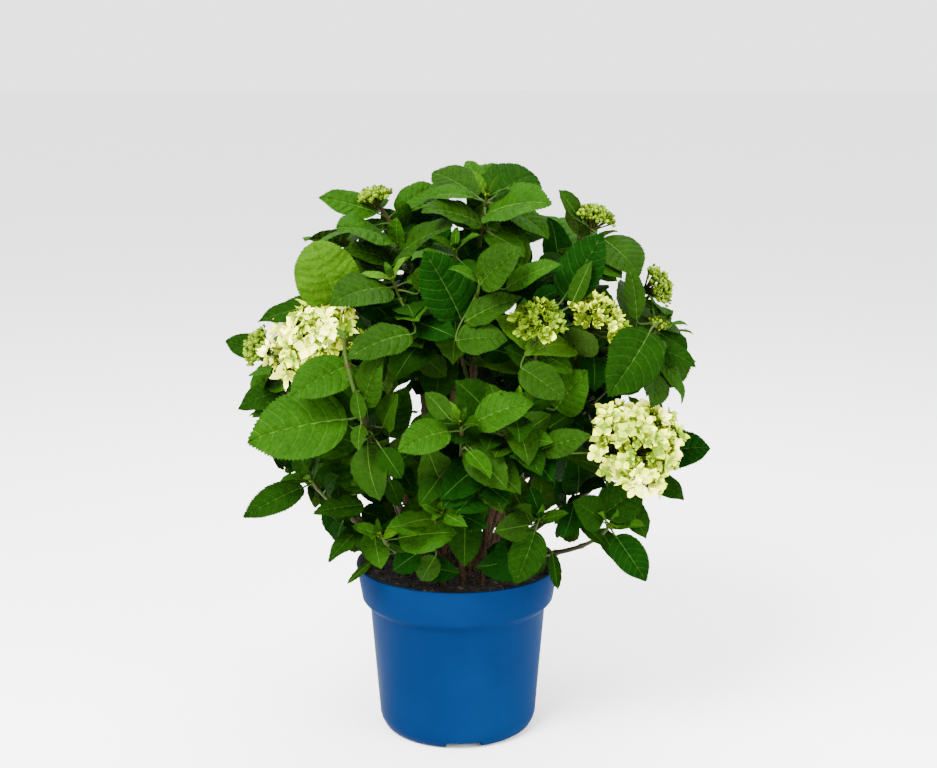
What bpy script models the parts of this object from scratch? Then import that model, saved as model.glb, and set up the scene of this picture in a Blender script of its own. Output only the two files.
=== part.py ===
"""A mophead hydrangea in its nursery pot: pot, potting soil, canes, and leafy masses with their flower heads.

Units are metres, +Z is up and -Y is the front. The origin is the middle of the pot's underside.
Each cane is one curve from the soil to a flower head. Its lower length is a bare cane, and from where it enters the
space of its mass it is the stem that the mass's side shoots, leaves and flower heads are fused to.
"""

import math
import random

import bmesh
import bpy
from mathutils import Matrix, Vector
from mathutils.bvhtree import BVHTree
from mathutils.kdtree import KDTree

GAP = 0.0003
UP = Vector((0, 0, 1))

# Pot, a 5 litre nursery container
POT_HEIGHT = 0.194
RIM_RADIUS = 0.1155
BAND_HEIGHT = 0.040
BAND_FOOT_RADIUS = 0.1094
BODY_TOP_RADIUS = 0.0999
BODY_FOOT_RADIUS = 0.0903
UNDERSIDE_RADIUS = 0.0772
WALL = 0.0025
FLOOR_HEIGHT = 0.012
POT_SIDES = 36
CHANNELS = 4
CHANNEL_WIDTH = 0.040
CHANNEL_HEIGHT = 0.0085
CHANNEL_INNER_END = 0.030
CHANNEL_TURN = math.radians(5)
DRAIN_RADIUS = 0.006
DRAIN_FROM_AXIS = 0.052

# Potting soil
SOIL_TOP = 0.180
SOIL_FLAT_RADIUS = 0.060
SOIL_EDGE_DROP = 0.004

# Crown: the flower heads lie on or near this dome
CROWN_MIDDLE = Vector((0.012, 0, 0.339))
CROWN_HALF_WIDTH = 0.250
CROWN_HALF_DEPTH = 0.225
CROWN_RISE = 0.290

# Canes and side shoots
CANE_FOOT_RADIUS = 0.0042
CANE_TIP_RADIUS = 0.0018
SHOOT_FOOT_RADIUS = 0.0025
SHOOT_TIP_RADIUS = 0.0016
CANE_STEPS = 14
SHOOT_STEPS = 6
CANE_SIDES = 6
TWIG_SIDES = 3
INNER_FEET_RADIUS = 0.020
OUTER_FEET_RADIUS = 0.046
INNER_FEET_LIFT = 45
BARE_SHARE = 0.26
LEAFY_SHARES = (0.42, 0.58, 0.78, 0.98)
SIDE_SHOOT_START = 0.12
SIDE_SHOOT_SPACING = 0.16

# Leaves: opposite pairs, each pair a quarter turn from the one above
LEAF_LENGTH = 0.104
LEAF_WIDTH_SHARE = 0.64
LEAF_THICKNESS_SHARE = 0.016
PETIOLE_SHARE = 0.26
SHORTEST_PETIOLE = 0.012
PETIOLE_ROOT_RADIUS = 0.0007
PETIOLE_TIP_RADIUS = 0.0013
PAIR_LENGTHS = (0.72, 0.94, 1.0, 1.0, 0.94, 0.84)
PAIR_PITCHES = (52, 64, 72, 78, 82, 86)
PAIR_DROOPS = (0.12, 0.30, 0.42, 0.48, 0.52, 0.56)
FIRST_GAP = 0.033
GAP_GROWTH = 1.13
BARE_FOOT = 0.018
LAID_STATIONS = (0.28, 0.70)
GROWN_STATIONS = (0.26, 0.66)
CLEARANCE = 0.0012
LONGEST_PETIOLE = 0.050
INNER_TRIES = 140
INNER_LEAVES = 7
FRONT_LIGHT = Vector((0, -0.66, 0.60))
SKIRT_SLOPE = 1.5
GREATEST_REACH = 1.06

# Flower heads: radius across, height over radius, distance from the middle down to the top leaf pair
HEADS = {
    "bloom": (0.050, 0.80, 0.052),
    "small_bloom": (0.044, 0.84, 0.050),
    "opening": (0.026, 0.80, 0.046),
    "buds": (0.019, 0.55, 0.034),
    "young": (0.008, 0.60, 0.012),
}
SMALL_HEAD = 0.010
FLORETS_ON_BLOOM = 14
FLORET_RADIUS = 0.0150

# Each mass: its cane's and its side shoots' flower heads, as (azimuth, lift, reach, kind, turn). Azimuth runs from +X
# towards +Y and lift is above the dome's middle, in degrees. Reach is a share of the dome. Turn is the top leaf pair's.
MASSES = {
    "top": [(284, 71, 1.02, "young", 10)],
    "upper_left": [(193, 66, 1.02, "buds", 5), (150, 50, 0.94, "young", 60)],
    "upper_right": [(352, 57, 1.02, "buds", 60), (20, 52, 0.94, "young", 20)],
    "right": [(354, 36, 1.02, "buds", 70), (338, 29, 1.0, "young", 20), (12, 24, 0.98, "young", 50)],
    "front_right": [(317, 36, 0.92, "opening", 60), (293, 36, 0.93, "opening", 15)],
    "front_high": [(263, 60, 0.90, "young", 30), (236, 50, 0.88, "young", 60)],
    "left": [(214, 30, 0.90, "small_bloom", 50), (190, 22, 1.00, "buds", 80)],
    "front_left": [(231, 31, 0.93, "young", 5)],
    "front": [(268, 14, 0.86, "young", 0), (284, 18, 0.84, "young", 45), (262, -9, 0.80, "young", 20)],
    "low_left": [(221, -3, 0.88, "young", 40), (192, 6, 0.84, "young", 0)],
    "low_right": [(322, 5, 0.90, "bloom", 40), (345, 6, 0.88, "young", 10)],
    "skirt_left": [(238, -20, 0.74, "young", 20), (258, -14, 0.70, "young", 60)],
    "skirt_right": [(318, -16, 0.84, "young", 60), (296, -16, 0.70, "young", 30)],
    "back_left": [(132, 16, 0.96, "bloom", 20), (166, 4, 0.92, "young", 60)],
    "back": [(98, 36, 0.97, "buds", 0), (84, 8, 0.92, "opening", 50)],
    "back_high": [(72, 64, 0.96, "buds", 30), (118, 56, 0.94, "young", 20)],
    "back_right": [(46, 22, 0.98, "opening", 20), (24, 0, 0.92, "young", 70)],
    "back_skirt": [(124, -14, 0.84, "young", 20), (60, -16, 0.84, "young", 80)],
}
# A cane that bends more than the others passes through this place on its way
CANE_BENDS = {"front_left": (240, 13, 0.86)}
# Large leaves that give the crown its outline: azimuth, lift and reach of the blade's base, then of its tip, then the
# blade's width over its length
LAID_LEAVES = {
    "top": [
        (284, 70, 0.97, 228, 80, 1.01, 0.62),
        (285, 71, 0.96, 104, 86, 1.01, 0.60),
        (288, 71, 0.97, 0, 73, 1.03, 0.70),
        (283, 69, 0.95, 300, 55, 1.15, 0.66),
        (280, 70, 0.91, 247, 62, 1.04, 0.60),
    ],
    "upper_left": [
        (194, 66, 0.93, 192, 55, 1.10, 0.55),
        (196, 67, 0.92, 180, 80, 0.95, 0.55),
        (201, 65, 0.86, 216, 51, 1.09, 0.62),
        (209, 63, 0.79, 262, 64, 0.95, 0.60),
    ],
    "upper_right": [(341, 57, 0.99, 324, 64, 1.03, 0.60), (338, 50, 0.92, 334, 41, 1.06, 0.75)],
    "front_high": [(221, 43, 0.92, 221, 47, 1.16, 0.90), (268, 40, 0.84, 256, 53, 1.02, 0.74)],
    "front_right": [(300, 39, 0.99, 312, 45, 1.19, 0.60)],
    "right": [(325, 28, 1.04, 306, 16, 1.03, 0.60), (335, 26, 0.93, 338, 18, 1.10, 0.62)],
    "left": [
        (210, 39, 0.90, 204, 27, 1.09, 0.50),
        (186, 21, 0.95, 182, 19, 1.14, 0.62),
        (196, 15, 0.84, 192, 9, 1.05, 0.62),
    ],
    "front_left": [(236, 13, 0.90, 220, 7, 1.20, 0.70), (235, 25, 0.92, 230, 15, 1.14, 0.68)],
    "low_left": [(221, -5, 0.88, 218, -8, 1.16, 0.45), (231, -12, 0.72, 226, -10, 0.94, 0.45)],
    "low_right": [(342, -1, 0.86, 346, 1, 1.09, 0.75), (340, -7, 0.82, 339, -10, 1.02, 0.60)],
    "skirt_left": [(226, -21, 0.70, 227, -22, 0.93, 0.40)],
    "skirt_right": [
        (319, -17, 0.86, 318, -22, 1.07, 0.62),
        (296, -17, 0.70, 288, -31, 0.78, 0.55),
        (326, -22, 0.74, 326, -27, 0.88, 0.45),
    ],
}
LOWEST_TIP = 0.182
SEED = 14


# ---- places and curves -----------------------------------------------------------------------------------------


def heading(azimuth, lift):
    turn, rise = math.radians(azimuth), math.radians(lift)
    return Vector((math.cos(rise) * math.cos(turn), math.cos(rise) * math.sin(turn), math.sin(rise)))


def crown_point(azimuth, lift, reach):
    """A point on the crown's dome, or that share of the way out to it."""
    out = heading(azimuth, lift) * reach
    return CROWN_MIDDLE + Vector((out.x * CROWN_HALF_WIDTH, out.y * CROWN_HALF_DEPTH, out.z * CROWN_RISE))


def share_of_dome(place):
    """How far out to the crown's dome a place lies."""
    out = place - CROWN_MIDDLE
    return Vector((out.x / CROWN_HALF_WIDTH, out.y / CROWN_HALF_DEPTH, out.z / CROWN_RISE)).length


def curve(start, start_pull, end_pull, end, steps):
    """Points along a cubic curve that leaves start towards start_pull and arrives at end from end_pull."""
    points = []
    for i in range(steps + 1):
        t = i / steps
        u = 1 - t
        points.append(start * u**3 + start_pull * (3 * u * u * t) + end_pull * (3 * u * t * t) + end * t**3)
    return points


def pull_through(start, start_pull, end, place, t):
    """The end_pull that makes the curve pass through place at share t."""
    u = 1 - t
    return (place - start * u**3 - start_pull * (3 * u * u * t) - end * t**3) / (3 * u * t * t)


def length_of(points):
    return sum((b - a).length for a, b in zip(points, points[1:]))


def along(points, distance):
    """The place and direction that far along a run of points."""
    for a, b in zip(points, points[1:]):
        step = (b - a).length
        if distance <= step:
            return a.lerp(b, distance / step), (b - a).normalized()
        distance -= step
    return points[-1].copy(), (points[-1] - points[-2]).normalized()


def nearest_on(points, place):
    """The point of a run of points that is nearest to place, and how far off it is."""
    best = None
    for a, b in zip(points, points[1:]):
        span = b - a
        share = min(max((place - a).dot(span) / span.length_squared, 0.0), 1.0)
        point = a + span * share
        off = (place - point).length
        if best is None or off < best[1]:
            best = (point, off)
    return best


def square_to(direction, wanted):
    """wanted, with its share along direction taken out."""
    left = wanted - direction * wanted.dot(direction)
    return left.normalized() if left.length > 1e-6 else direction.orthogonal().normalized()


# ---- the growth rule -------------------------------------------------------------------------------------------


def cane_feet():
    """Each cane's foot on the soil: the steep canes stand in an inner ring and the others in an outer one."""
    feet = {}
    leaders = {name: shoots[0] for name, shoots in MASSES.items()}
    for steep, radius in ((True, INNER_FEET_RADIUS), (False, OUTER_FEET_RADIUS)):
        ring = sorted((n for n, s in leaders.items() if (s[1] > INNER_FEET_LIFT) == steep), key=lambda n: leaders[n][0])
        offset = sum(leaders[n][0] - 360 * k / len(ring) for k, n in enumerate(ring)) / len(ring)
        for k, name in enumerate(ring):
            feet[name] = heading(offset + 360 * k / len(ring), 0) * radius + UP * (SOIL_TOP + GAP)
    return feet


def cane_path(name, foot):
    """A cane from its foot on the soil up and out to its flower head."""
    azimuth, lift, reach, _, _ = MASSES[name][0]
    tip = crown_point(azimuth, lift, reach)
    steep = max(0.0, math.sin(math.radians(lift)))
    span = (tip - foot).length
    out = heading(azimuth, 0)
    start_pull = foot + (UP * (0.55 + 0.2 * steep) + out * 0.25) * span * 0.42
    if name in CANE_BENDS:
        end_pull = pull_through(foot, start_pull, tip, crown_point(*CANE_BENDS[name]), 0.6)
    else:
        end_pull = tip - (UP * 0.62 + out * 0.45).normalized() * span * 0.36
    return curve(foot, start_pull, end_pull, tip, CANE_STEPS)


def shoot_path(stem, tip, start_share):
    """A side shoot that forks from the stem and turns out to its own flower head."""
    start, direction = along(stem, length_of(stem) * start_share)
    span = (tip - start).length
    out = (tip - CROWN_MIDDLE).normalized()
    start_pull = start + direction * span * 0.28
    end_pull = tip - (out * 0.6 + UP * 0.6).normalized() * span * 0.36
    return curve(start, start_pull, end_pull, tip, SHOOT_STEPS)


def spaces_of(canes):
    """A search tree of places that belong to masses: a mass's space is what is nearer to its own places."""
    places = []
    for name, path in canes.items():
        places += [(along(path, length_of(path) * share)[0], name) for share in LEAFY_SHARES]
        for azimuth, lift, reach, _, _ in MASSES[name][1:]:
            places.append((crown_point(azimuth, lift, reach * 0.96), name))
            places.append((crown_point(azimuth, lift, reach * 0.66), name))
        for base_azimuth, base_lift, base_reach, azimuth, lift, reach, _ in LAID_LEAVES.get(name, []):
            base, tip = crown_point(base_azimuth, base_lift, base_reach), crown_point(azimuth, lift, reach)
            places += [(base.lerp(tip, share), name) for share in (0.25, 0.6, 0.95)]
    tree = KDTree(len(places))
    for k, (place, _) in enumerate(places):
        tree.insert(place, k)
    tree.balance()
    return tree, [owner for _, owner in places]


def keeps_to(name, spaces, points):
    tree, owners = spaces
    return all(owners[tree.find(p)[1]] == name for p in points)


def in_crown(points):
    """Whether all the points are inside the crown's dome, clear of the pot, and above the slope of its skirt."""
    for p in points:
        off_rim = math.hypot(p.x, p.y) - RIM_RADIUS
        lowest = POT_HEIGHT + 0.004 if off_rim < 0.006 else LOWEST_TIP + SKIRT_SLOPE * off_rim
        if p.z < lowest or share_of_dome(p) > GREATEST_REACH:
            return False
    return True


def split_cane(name, path, spaces):
    """The bare cane and the stem that goes on from it, a hair apart, cut square to the same direction."""
    total = length_of(path)
    for inside in range(2, len(path) - 2):
        if length_of(path[: inside + 1]) > BARE_SHARE * total and keeps_to(name, spaces, path[inside:]):
            break
    direction = (path[inside + 1] - path[inside - 1]).normalized()
    cane = path[:inside:2] + [path[inside]]
    return cane, [path[inside] + direction * GAP] + path[inside + 1 :], direction


def grow_mass(name, path, spaces):
    """The mass's bare cane and the paths of its stem and side shoots, each with its head's kind and leaf turn."""
    cane, stem, direction = split_cane(name, path, spaces)
    paths = []
    for k, (azimuth, lift, reach, kind, turn) in enumerate(MASSES[name]):
        start_share = SIDE_SHOOT_START + SIDE_SHOOT_SPACING * (k - 1)
        path = shoot_path(stem, crown_point(azimuth, lift, reach), start_share) if k else stem
        paths.append((path, kind, turn))
    return cane, paths, direction


def blade_share(t):
    """Half the blade's width over its greatest, at share t of its length: oval, with a drawn-out tip."""
    widest = 0.40
    return (t / widest) ** 0.55 * ((1 - t) / (1 - widest)) ** 0.83 if 0 < t < 1 else 0.0


def midrib(leaf, t):
    """A point of the midrib, which curls away from the leaf's face, and the face's direction there."""
    _, base, ahead, face, length, _, curl, _, _ = leaf
    turned = curl * t
    point = base + (ahead * math.sin(turned) - face * (1 - math.cos(turned))) * length / curl
    return point, face * math.cos(turned) + ahead * math.sin(turned)


def leaf_rings(leaf, spare=0.0):
    """The leaf's rings of four points from the petiole's root to the last station, and its tip. Spare fattens it."""
    root, base, ahead, face, length, width_share, _, fold, stations = leaf
    side = face.cross(ahead)
    rings = []
    petiole = (base - root).normalized()
    for centre, way, radius in (
        (root, petiole, PETIOLE_ROOT_RADIUS),
        (base, (petiole + ahead).normalized(), PETIOLE_TIP_RADIUS),
    ):
        across = square_to(way, side)
        over = way.cross(across)
        rings.append([centre + d * (radius + spare) for d in (across, over, -across, -over)])
    thick = length * LEAF_THICKNESS_SHARE / 2 + spare
    for t in stations:
        middle, normal = midrib(leaf, t)
        half = length * width_share / 2 * blade_share(t) + spare
        out = side * math.cos(fold) * half
        lift = normal * math.sin(fold) * half
        rings.append([middle + out + lift, middle + normal * thick, middle - out + lift, middle - normal * thick])
    return rings, midrib(leaf, 1.0)[0]


def skin_faces(rings):
    """Faces between equal rings whose points are numbered in order, and a fan to the point after the last."""
    around = len(rings[0])
    faces = []
    for r in range(len(rings) - 1):
        for i in range(around):
            a, b = r * around + i, r * around + (i + 1) % around
            faces.append((a, b, b + around, a + around))
    last = (len(rings) - 1) * around
    return faces + [(last + i, last + (i + 1) % around, last + around) for i in range(around)]


def touch_tree(rings, tip):
    return BVHTree.FromPolygons([p for ring in rings for p in ring] + [tip], skin_faces(rings))


def leaf_trees(leaf, spare=0.0):
    """Trees for touch tests: the blade, and the blade with its petiole from a little way off its stem."""
    rings, tip = leaf_rings(leaf, spare)
    clear_root = [a.lerp(b, 0.35) for a, b in zip(rings[0], rings[1])]
    return touch_tree(rings[1:], tip), touch_tree([clear_root] + rings[1:], tip)


def mesh_tree(build):
    bm = bmesh.new()
    build(bm)
    tree = BVHTree.FromBMesh(bm)
    bm.free()
    return tree


def leaf_between(base, tip, width_share, paths, dice):
    """A leaf laid between two places, its petiole rooted in the nearest stem of its mass."""
    roots = [nearest_on([along(path, BARE_FOOT)[0]] + path[2:], base) for path, _, _ in paths]
    root, _ = min(roots, key=lambda near: near[1])
    chord = tip - base
    outward = (base.lerp(tip, 0.5) - CROWN_MIDDLE).normalized()
    face = square_to(chord.normalized(), outward * 0.45 + FRONT_LIGHT)
    curl = dice.uniform(0.35, 0.7)
    ahead = chord.normalized() * math.cos(curl / 2) + face * math.sin(curl / 2)
    length = chord.length * curl / (2 * math.sin(curl / 2))
    face = square_to(ahead, face)
    if (base - root).length < SHORTEST_PETIOLE:
        base = root + ahead * SHORTEST_PETIOLE
    return (root, base, ahead, face, length, width_share, curl, math.radians(dice.uniform(6, 16)), LAID_STATIONS)


def laid_leaf(row, paths, dice):
    return leaf_between(crown_point(*row[:3]), crown_point(*row[3:6]), row[6], paths, dice)


def inner_leaf(paths, dice):
    """A leaf somewhere near one of a mass's stems, held out from the crown's middle."""
    path = paths[dice.randrange(len(paths))][0]
    near, _ = along(path, length_of(path) * dice.uniform(0.25, 0.98))
    off = Vector([dice.uniform(-1, 1) for _ in range(3)]).normalized()
    base = near + off * dice.uniform(0.015, LONGEST_PETIOLE)
    stray = Vector([dice.uniform(-1, 1) for _ in range(3)])
    ahead = ((base - CROWN_MIDDLE).normalized() * 0.7 + stray - UP * 0.25).normalized()
    return leaf_between(base, base + ahead * LEAF_LENGTH * dice.uniform(0.5, 0.95), dice.uniform(0.6, 0.72), paths, dice)


def leaf_choices(node, stem_direction, spread, order, dice):
    """The leaf as it grows, then the same leaf swung, lifted or smaller, for the place where that won't fit."""
    order = min(order, len(PAIR_LENGTHS) - 1)
    length = LEAF_LENGTH * PAIR_LENGTHS[order] * dice.uniform(0.86, 1.08)
    pitch = PAIR_PITCHES[order] + dice.uniform(-8, 8)
    droop = PAIR_DROOPS[order] + dice.uniform(-0.06, 0.08)
    curl = dice.uniform(0.45, 1.0)
    fold = math.radians(dice.uniform(6, 22))
    sideways = stem_direction.cross(spread)
    outward = (node - CROWN_MIDDLE).normalized()
    for size in (1.0, 0.84, 0.68):
        for swing in (0, 22, -22, 44, -44):
            for lift in (0, -24, 18):
                swung = spread * math.cos(math.radians(swing)) + sideways * math.sin(math.radians(swing))
                angle = math.radians(pitch + lift)
                ahead = (stem_direction * math.cos(angle) + swung * math.sin(angle) - UP * droop).normalized()
                face = square_to(ahead, stem_direction * 0.35 + outward * 0.8 + UP * 0.5)
                base = node + ahead * length * size * PETIOLE_SHARE
                yield (node, base, ahead, face, length * size, LEAF_WIDTH_SHARE, curl, fold, GROWN_STATIONS)


def fits(name, leaf, spaces, limbs, placed, own_stems=None):
    """Whether a leaf keeps to its mass's space and touches no limb, no head and no other leaf. Own stems are given for
    a leaf whose stalk has to clear its own mass's leaves too."""
    rings, tip = leaf_rings(leaf)
    points = [p for ring in rings[1:] for p in ring] + [tip]
    points += [leaf[1].lerp(leaf[0], 0.5), (rings[-1][0] + tip) / 2, (rings[-1][2] + tip) / 2]
    if not (keeps_to(name, spaces, points) and in_crown(points)):
        return False
    blade, whole = leaf_trees(leaf)
    if any(whole.overlap(limb) for limb in limbs):
        return False
    if own_stems and any(blade.overlap(stem) for stem in own_stems):
        return False
    for owner, other_blade, other_whole in placed:
        if owner == name and not own_stems:
            if blade.overlap(other_blade):
                return False
        elif whole.overlap(other_whole):
            return False
    return True


def grow_leaves(name, path, kind, turn, spaces, limbs, placed, dice):
    """The opposite pairs of one shoot, from under its head down to its foot."""
    leaves = []
    total, gap, order = length_of(path), FIRST_GAP, 0
    run = HEADS[kind][2]
    while run < total - BARE_FOOT:
        node, direction = along(path, total - run)
        right = square_to(direction, Vector((1, 0, 0)) if abs(direction.x) < 0.92 else UP)
        other = direction.cross(right)
        for half in (0, 1):
            angle = math.radians(turn + 90 * order + 180 * half + dice.uniform(-14, 14))
            spread = right * math.cos(angle) + other * math.sin(angle)
            for leaf in leaf_choices(node, direction, spread, order, dice):
                if fits(name, leaf, spaces, limbs, placed):
                    placed.append((name, *leaf_trees(leaf, CLEARANCE)))
                    leaves.append(leaf)
                    break
        run += gap
        gap *= GAP_GROWTH
        order += 1
    return leaves


# ---- solids ----------------------------------------------------------------------------------------------------


def make_material(name, colour, roughness):
    material = bpy.data.materials.new(name)
    material.use_nodes = True
    shader = material.node_tree.nodes["Principled BSDF"]
    shader.inputs["Base Color"].default_value = (*colour, 1)
    shader.inputs["Roughness"].default_value = roughness
    return material


def new_object(name, bm, material):
    mesh = bpy.data.meshes.new(name)
    bmesh.ops.recalc_face_normals(bm, faces=bm.faces)
    bm.to_mesh(mesh)
    bm.free()
    mesh.materials.append(material)
    obj = bpy.data.objects.new(name, mesh)
    bpy.context.scene.collection.objects.link(obj)
    return obj


def add_skin(bm, rings, tip=None):
    """Skins a run of equal rings, with a cap on the first, and a tip point or a cap on the last."""
    rings = [[bm.verts.new(p) for p in ring] for ring in rings]
    around = len(rings[0])
    for a, b in zip(rings, rings[1:]):
        for i in range(around):
            j = (i + 1) % around
            bm.faces.new((a[i], a[j], b[j], b[i]))
    bm.faces.new(rings[0][::-1])
    if tip is None:
        bm.faces.new(rings[-1])
    else:
        point = bm.verts.new(tip)
        for i in range(around):
            bm.faces.new((rings[-1][i], rings[-1][(i + 1) % around], point))


def add_tube(bm, points, foot_radius, tip_radius, sides, foot_cut=None, tip_cut=None):
    """A tapering limb round a run of points. foot_cut and tip_cut are the directions its ends are cut square to."""
    total = length_of(points)
    rings, run, side = [], 0.0, None
    for i, point in enumerate(points):
        if i:
            run += (point - points[i - 1]).length
        direction = (points[min(i + 1, len(points) - 1)] - points[max(i - 1, 0)]).normalized()
        if i == 0 and foot_cut:
            direction = foot_cut
        if i == len(points) - 1 and tip_cut:
            direction = tip_cut
        side = square_to(direction, side or Vector((1, 0, 0)))
        other = direction.cross(side)
        radius = foot_radius + (tip_radius - foot_radius) * run / total
        turns = [2 * math.pi * k / sides for k in range(sides)]
        rings.append([point + (side * math.cos(a) + other * math.sin(a)) * radius for a in turns])
    add_skin(bm, rings)


def add_ball(bm, middle, axis, radius, flatness):
    """A ball flattened along its axis, coarser for a small bud. Returns its points."""
    made = bmesh.ops.create_icosphere(bm, subdivisions=2 if radius > SMALL_HEAD else 1, radius=radius)["verts"]
    turn = axis.to_track_quat("Z", "Y").to_matrix().to_4x4()
    flatten = Matrix.Diagonal((1, 1, flatness, 1))
    bmesh.ops.transform(bm, matrix=Matrix.Translation(middle) @ turn @ flatten, verts=made)
    return made


def add_floret(bm, middle, axis, radius, turn):
    """A four-petalled floret: a thin star with a raised eye, on a root that reaches into the head."""
    right = axis.orthogonal().normalized()
    other = axis.cross(right)
    rim = []
    for k in range(8):
        angle = turn + math.pi * k / 4
        reach = radius if k % 2 == 0 else radius * 0.44
        rim.append(bm.verts.new(middle + (right * math.cos(angle) + other * math.sin(angle)) * reach))
    top, root = bm.verts.new(middle + axis * radius * 0.26), bm.verts.new(middle - axis * radius * 1.1)
    for k in range(8):
        bm.faces.new((rim[k], rim[(k + 1) % 8], top))
    for k in (0, 2, 4, 6):
        bm.faces.new((rim[k], rim[k - 1], rim[k + 1]))
        bm.faces.new((rim[k - 1], root, rim[k + 1]))


def sphere_spots(count):
    """Evenly spread directions over the upper three quarters of a ball."""
    golden = math.pi * (3 - math.sqrt(5))
    for k in range(count):
        z = 1 - 1.5 * (k + 0.5) / count
        across = math.sqrt(1 - z * z)
        yield Vector((across * math.cos(golden * k), across * math.sin(golden * k), z))


def head_axis(path):
    """The way a flower head faces: on from its stem, nodding out from the crown."""
    return ((path[-1] - path[-2]).normalized() + (path[-1] - CROWN_MIDDLE).normalized() * 0.8).normalized()


def head_solids(path, kind, dice):
    """The core of a flower head round its shoot's end, and the florets that stand out of a bloom."""
    radius, flatness, _ = HEADS[kind]
    middle, axis = path[-1], head_axis(path)
    core = bmesh.new()
    for vertex in add_ball(core, middle, axis, radius * (0.88 if "bloom" in kind else 1.0), flatness):
        vertex.co = middle + (vertex.co - middle) * dice.uniform(0.9, 1.04)
    solids = [core]
    if "bloom" in kind:
        frame = axis.to_track_quat("Z", "Y").to_matrix()
        for spot in sphere_spots(FLORETS_ON_BLOOM):
            place = middle + frame @ Vector((spot.x, spot.y, spot.z * flatness)) * radius * 0.95
            floret = bmesh.new()
            add_floret(floret, place, (frame @ spot + axis * 0.2).normalized(), FLORET_RADIUS, dice.uniform(0, 1.5))
            solids.append(floret)
    return solids


def keep_widest_shell(mesh):
    """Drops loose scraps, and the inner skins of hollows that fusing sealed, which fills them."""
    bm = bmesh.new()
    bm.from_mesh(mesh)
    bmesh.ops.triangulate(bm, faces=bm.faces)
    waiting, shells = set(bm.faces), []
    while waiting:
        reached, shell = [waiting.pop()], []
        while reached:
            face = reached.pop()
            shell.append(face)
            for edge in face.edges:
                if len(edge.link_faces) != 2:
                    continue
                for near in edge.link_faces:
                    if near in waiting:
                        waiting.remove(near)
                        reached.append(near)
        shells.append(shell)
    shells.sort(key=len)
    for shell in shells[:-1]:
        bmesh.ops.delete(bm, geom=shell, context="FACES")
    bm.to_mesh(mesh)
    bm.free()


def fuse(obj, solids, material):
    """One Boolean union of the object with every solid in the list, applied."""
    helpers = bpy.data.collections.new(obj.name + "_parts")
    bpy.context.scene.collection.children.link(helpers)
    for k, bm in enumerate(solids):
        helper = new_object(f"{obj.name}_part{k}", bm, material)
        bpy.context.scene.collection.objects.unlink(helper)
        helpers.objects.link(helper)
    union = obj.modifiers.new("union", "BOOLEAN")
    union.operation = "UNION"
    union.operand_type = "COLLECTION"
    union.collection = helpers
    union.solver = "MANIFOLD"
    bpy.context.view_layer.update()
    fused = bpy.data.meshes.new_from_object(obj.evaluated_get(bpy.context.evaluated_depsgraph_get()))
    keep_widest_shell(fused)
    obj.modifiers.clear()
    obj.data = fused
    for helper in list(helpers.objects):
        bpy.data.objects.remove(helper)
    bpy.data.collections.remove(helpers)


def turned(profile):
    """A solid of revolution round the pot's axis, from a closed profile of radii and heights."""
    bm = bmesh.new()
    rings = []
    for radius, height in profile:
        turns = [2 * math.pi * k / POT_SIDES for k in range(POT_SIDES)]
        rings.append([Vector((radius * math.cos(a), radius * math.sin(a), height)) for a in turns])
    add_skin(bm, rings)
    return bm


def cut(obj, cutter, name, material):
    helper = new_object(name, cutter, material)
    helper.hide_render = True
    helper.display_type = "WIRE"
    modifier = obj.modifiers.new(name, "BOOLEAN")
    modifier.operation = "DIFFERENCE"
    modifier.object = helper


def build_pot(material):
    """A thin tapered shell with a wider band under its rim, and channels with drain holes across its underside."""
    band_foot = POT_HEIGHT - BAND_HEIGHT
    outer = [
        (UNDERSIDE_RADIUS, 0.0),
        (UNDERSIDE_RADIUS + 0.0070, 0.0035),
        (BODY_FOOT_RADIUS - 0.0018, 0.0110),
        (BODY_FOOT_RADIUS, 0.0220),
        (BODY_TOP_RADIUS, band_foot - 0.0100),
        (BAND_FOOT_RADIUS - 0.0018, band_foot - 0.0020),
        (BAND_FOOT_RADIUS, band_foot + 0.0015),
        (RIM_RADIUS, POT_HEIGHT - 0.0015),
        (RIM_RADIUS - 0.0012, POT_HEIGHT),
    ]
    inner = [
        (RIM_RADIUS - WALL, POT_HEIGHT),
        (BAND_FOOT_RADIUS - WALL, band_foot + 0.0030),
        (BODY_TOP_RADIUS - WALL, band_foot - 0.0100),
        (BODY_FOOT_RADIUS - WALL - 0.0020, FLOOR_HEIGHT + 0.0060),
        (BODY_FOOT_RADIUS - WALL - 0.0100, FLOOR_HEIGHT),
    ]
    pot = new_object("pot", turned(outer + inner), material)
    for k in range(CHANNELS):
        turn = Matrix.Rotation(CHANNEL_TURN + math.pi * (2 * k / CHANNELS - 0.5), 4, "Z")
        length = RIM_RADIUS - CHANNEL_INNER_END
        channel = bmesh.new()
        bmesh.ops.create_cube(channel, size=1.0)
        middle = Vector((CHANNEL_INNER_END + length / 2, 0, 0))
        shape = Matrix.Diagonal((length, CHANNEL_WIDTH, 2 * CHANNEL_HEIGHT, 1))
        bmesh.ops.transform(channel, matrix=turn @ Matrix.Translation(middle) @ shape, verts=channel.verts)
        cut(pot, channel, f"channel{k}", material)
        drain = bmesh.new()
        size = {"radius1": DRAIN_RADIUS, "radius2": DRAIN_RADIUS, "depth": 4 * FLOOR_HEIGHT}
        bmesh.ops.create_cone(drain, cap_ends=True, segments=12, **size)
        place = Matrix.Translation(Vector((DRAIN_FROM_AXIS, 0, 0)))
        bmesh.ops.transform(drain, matrix=turn @ place, verts=drain.verts)
        cut(pot, drain, f"drain{k}", material)
    pot.data.shade_smooth()
    pot.data.set_sharp_from_angle(angle=math.radians(40))


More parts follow.
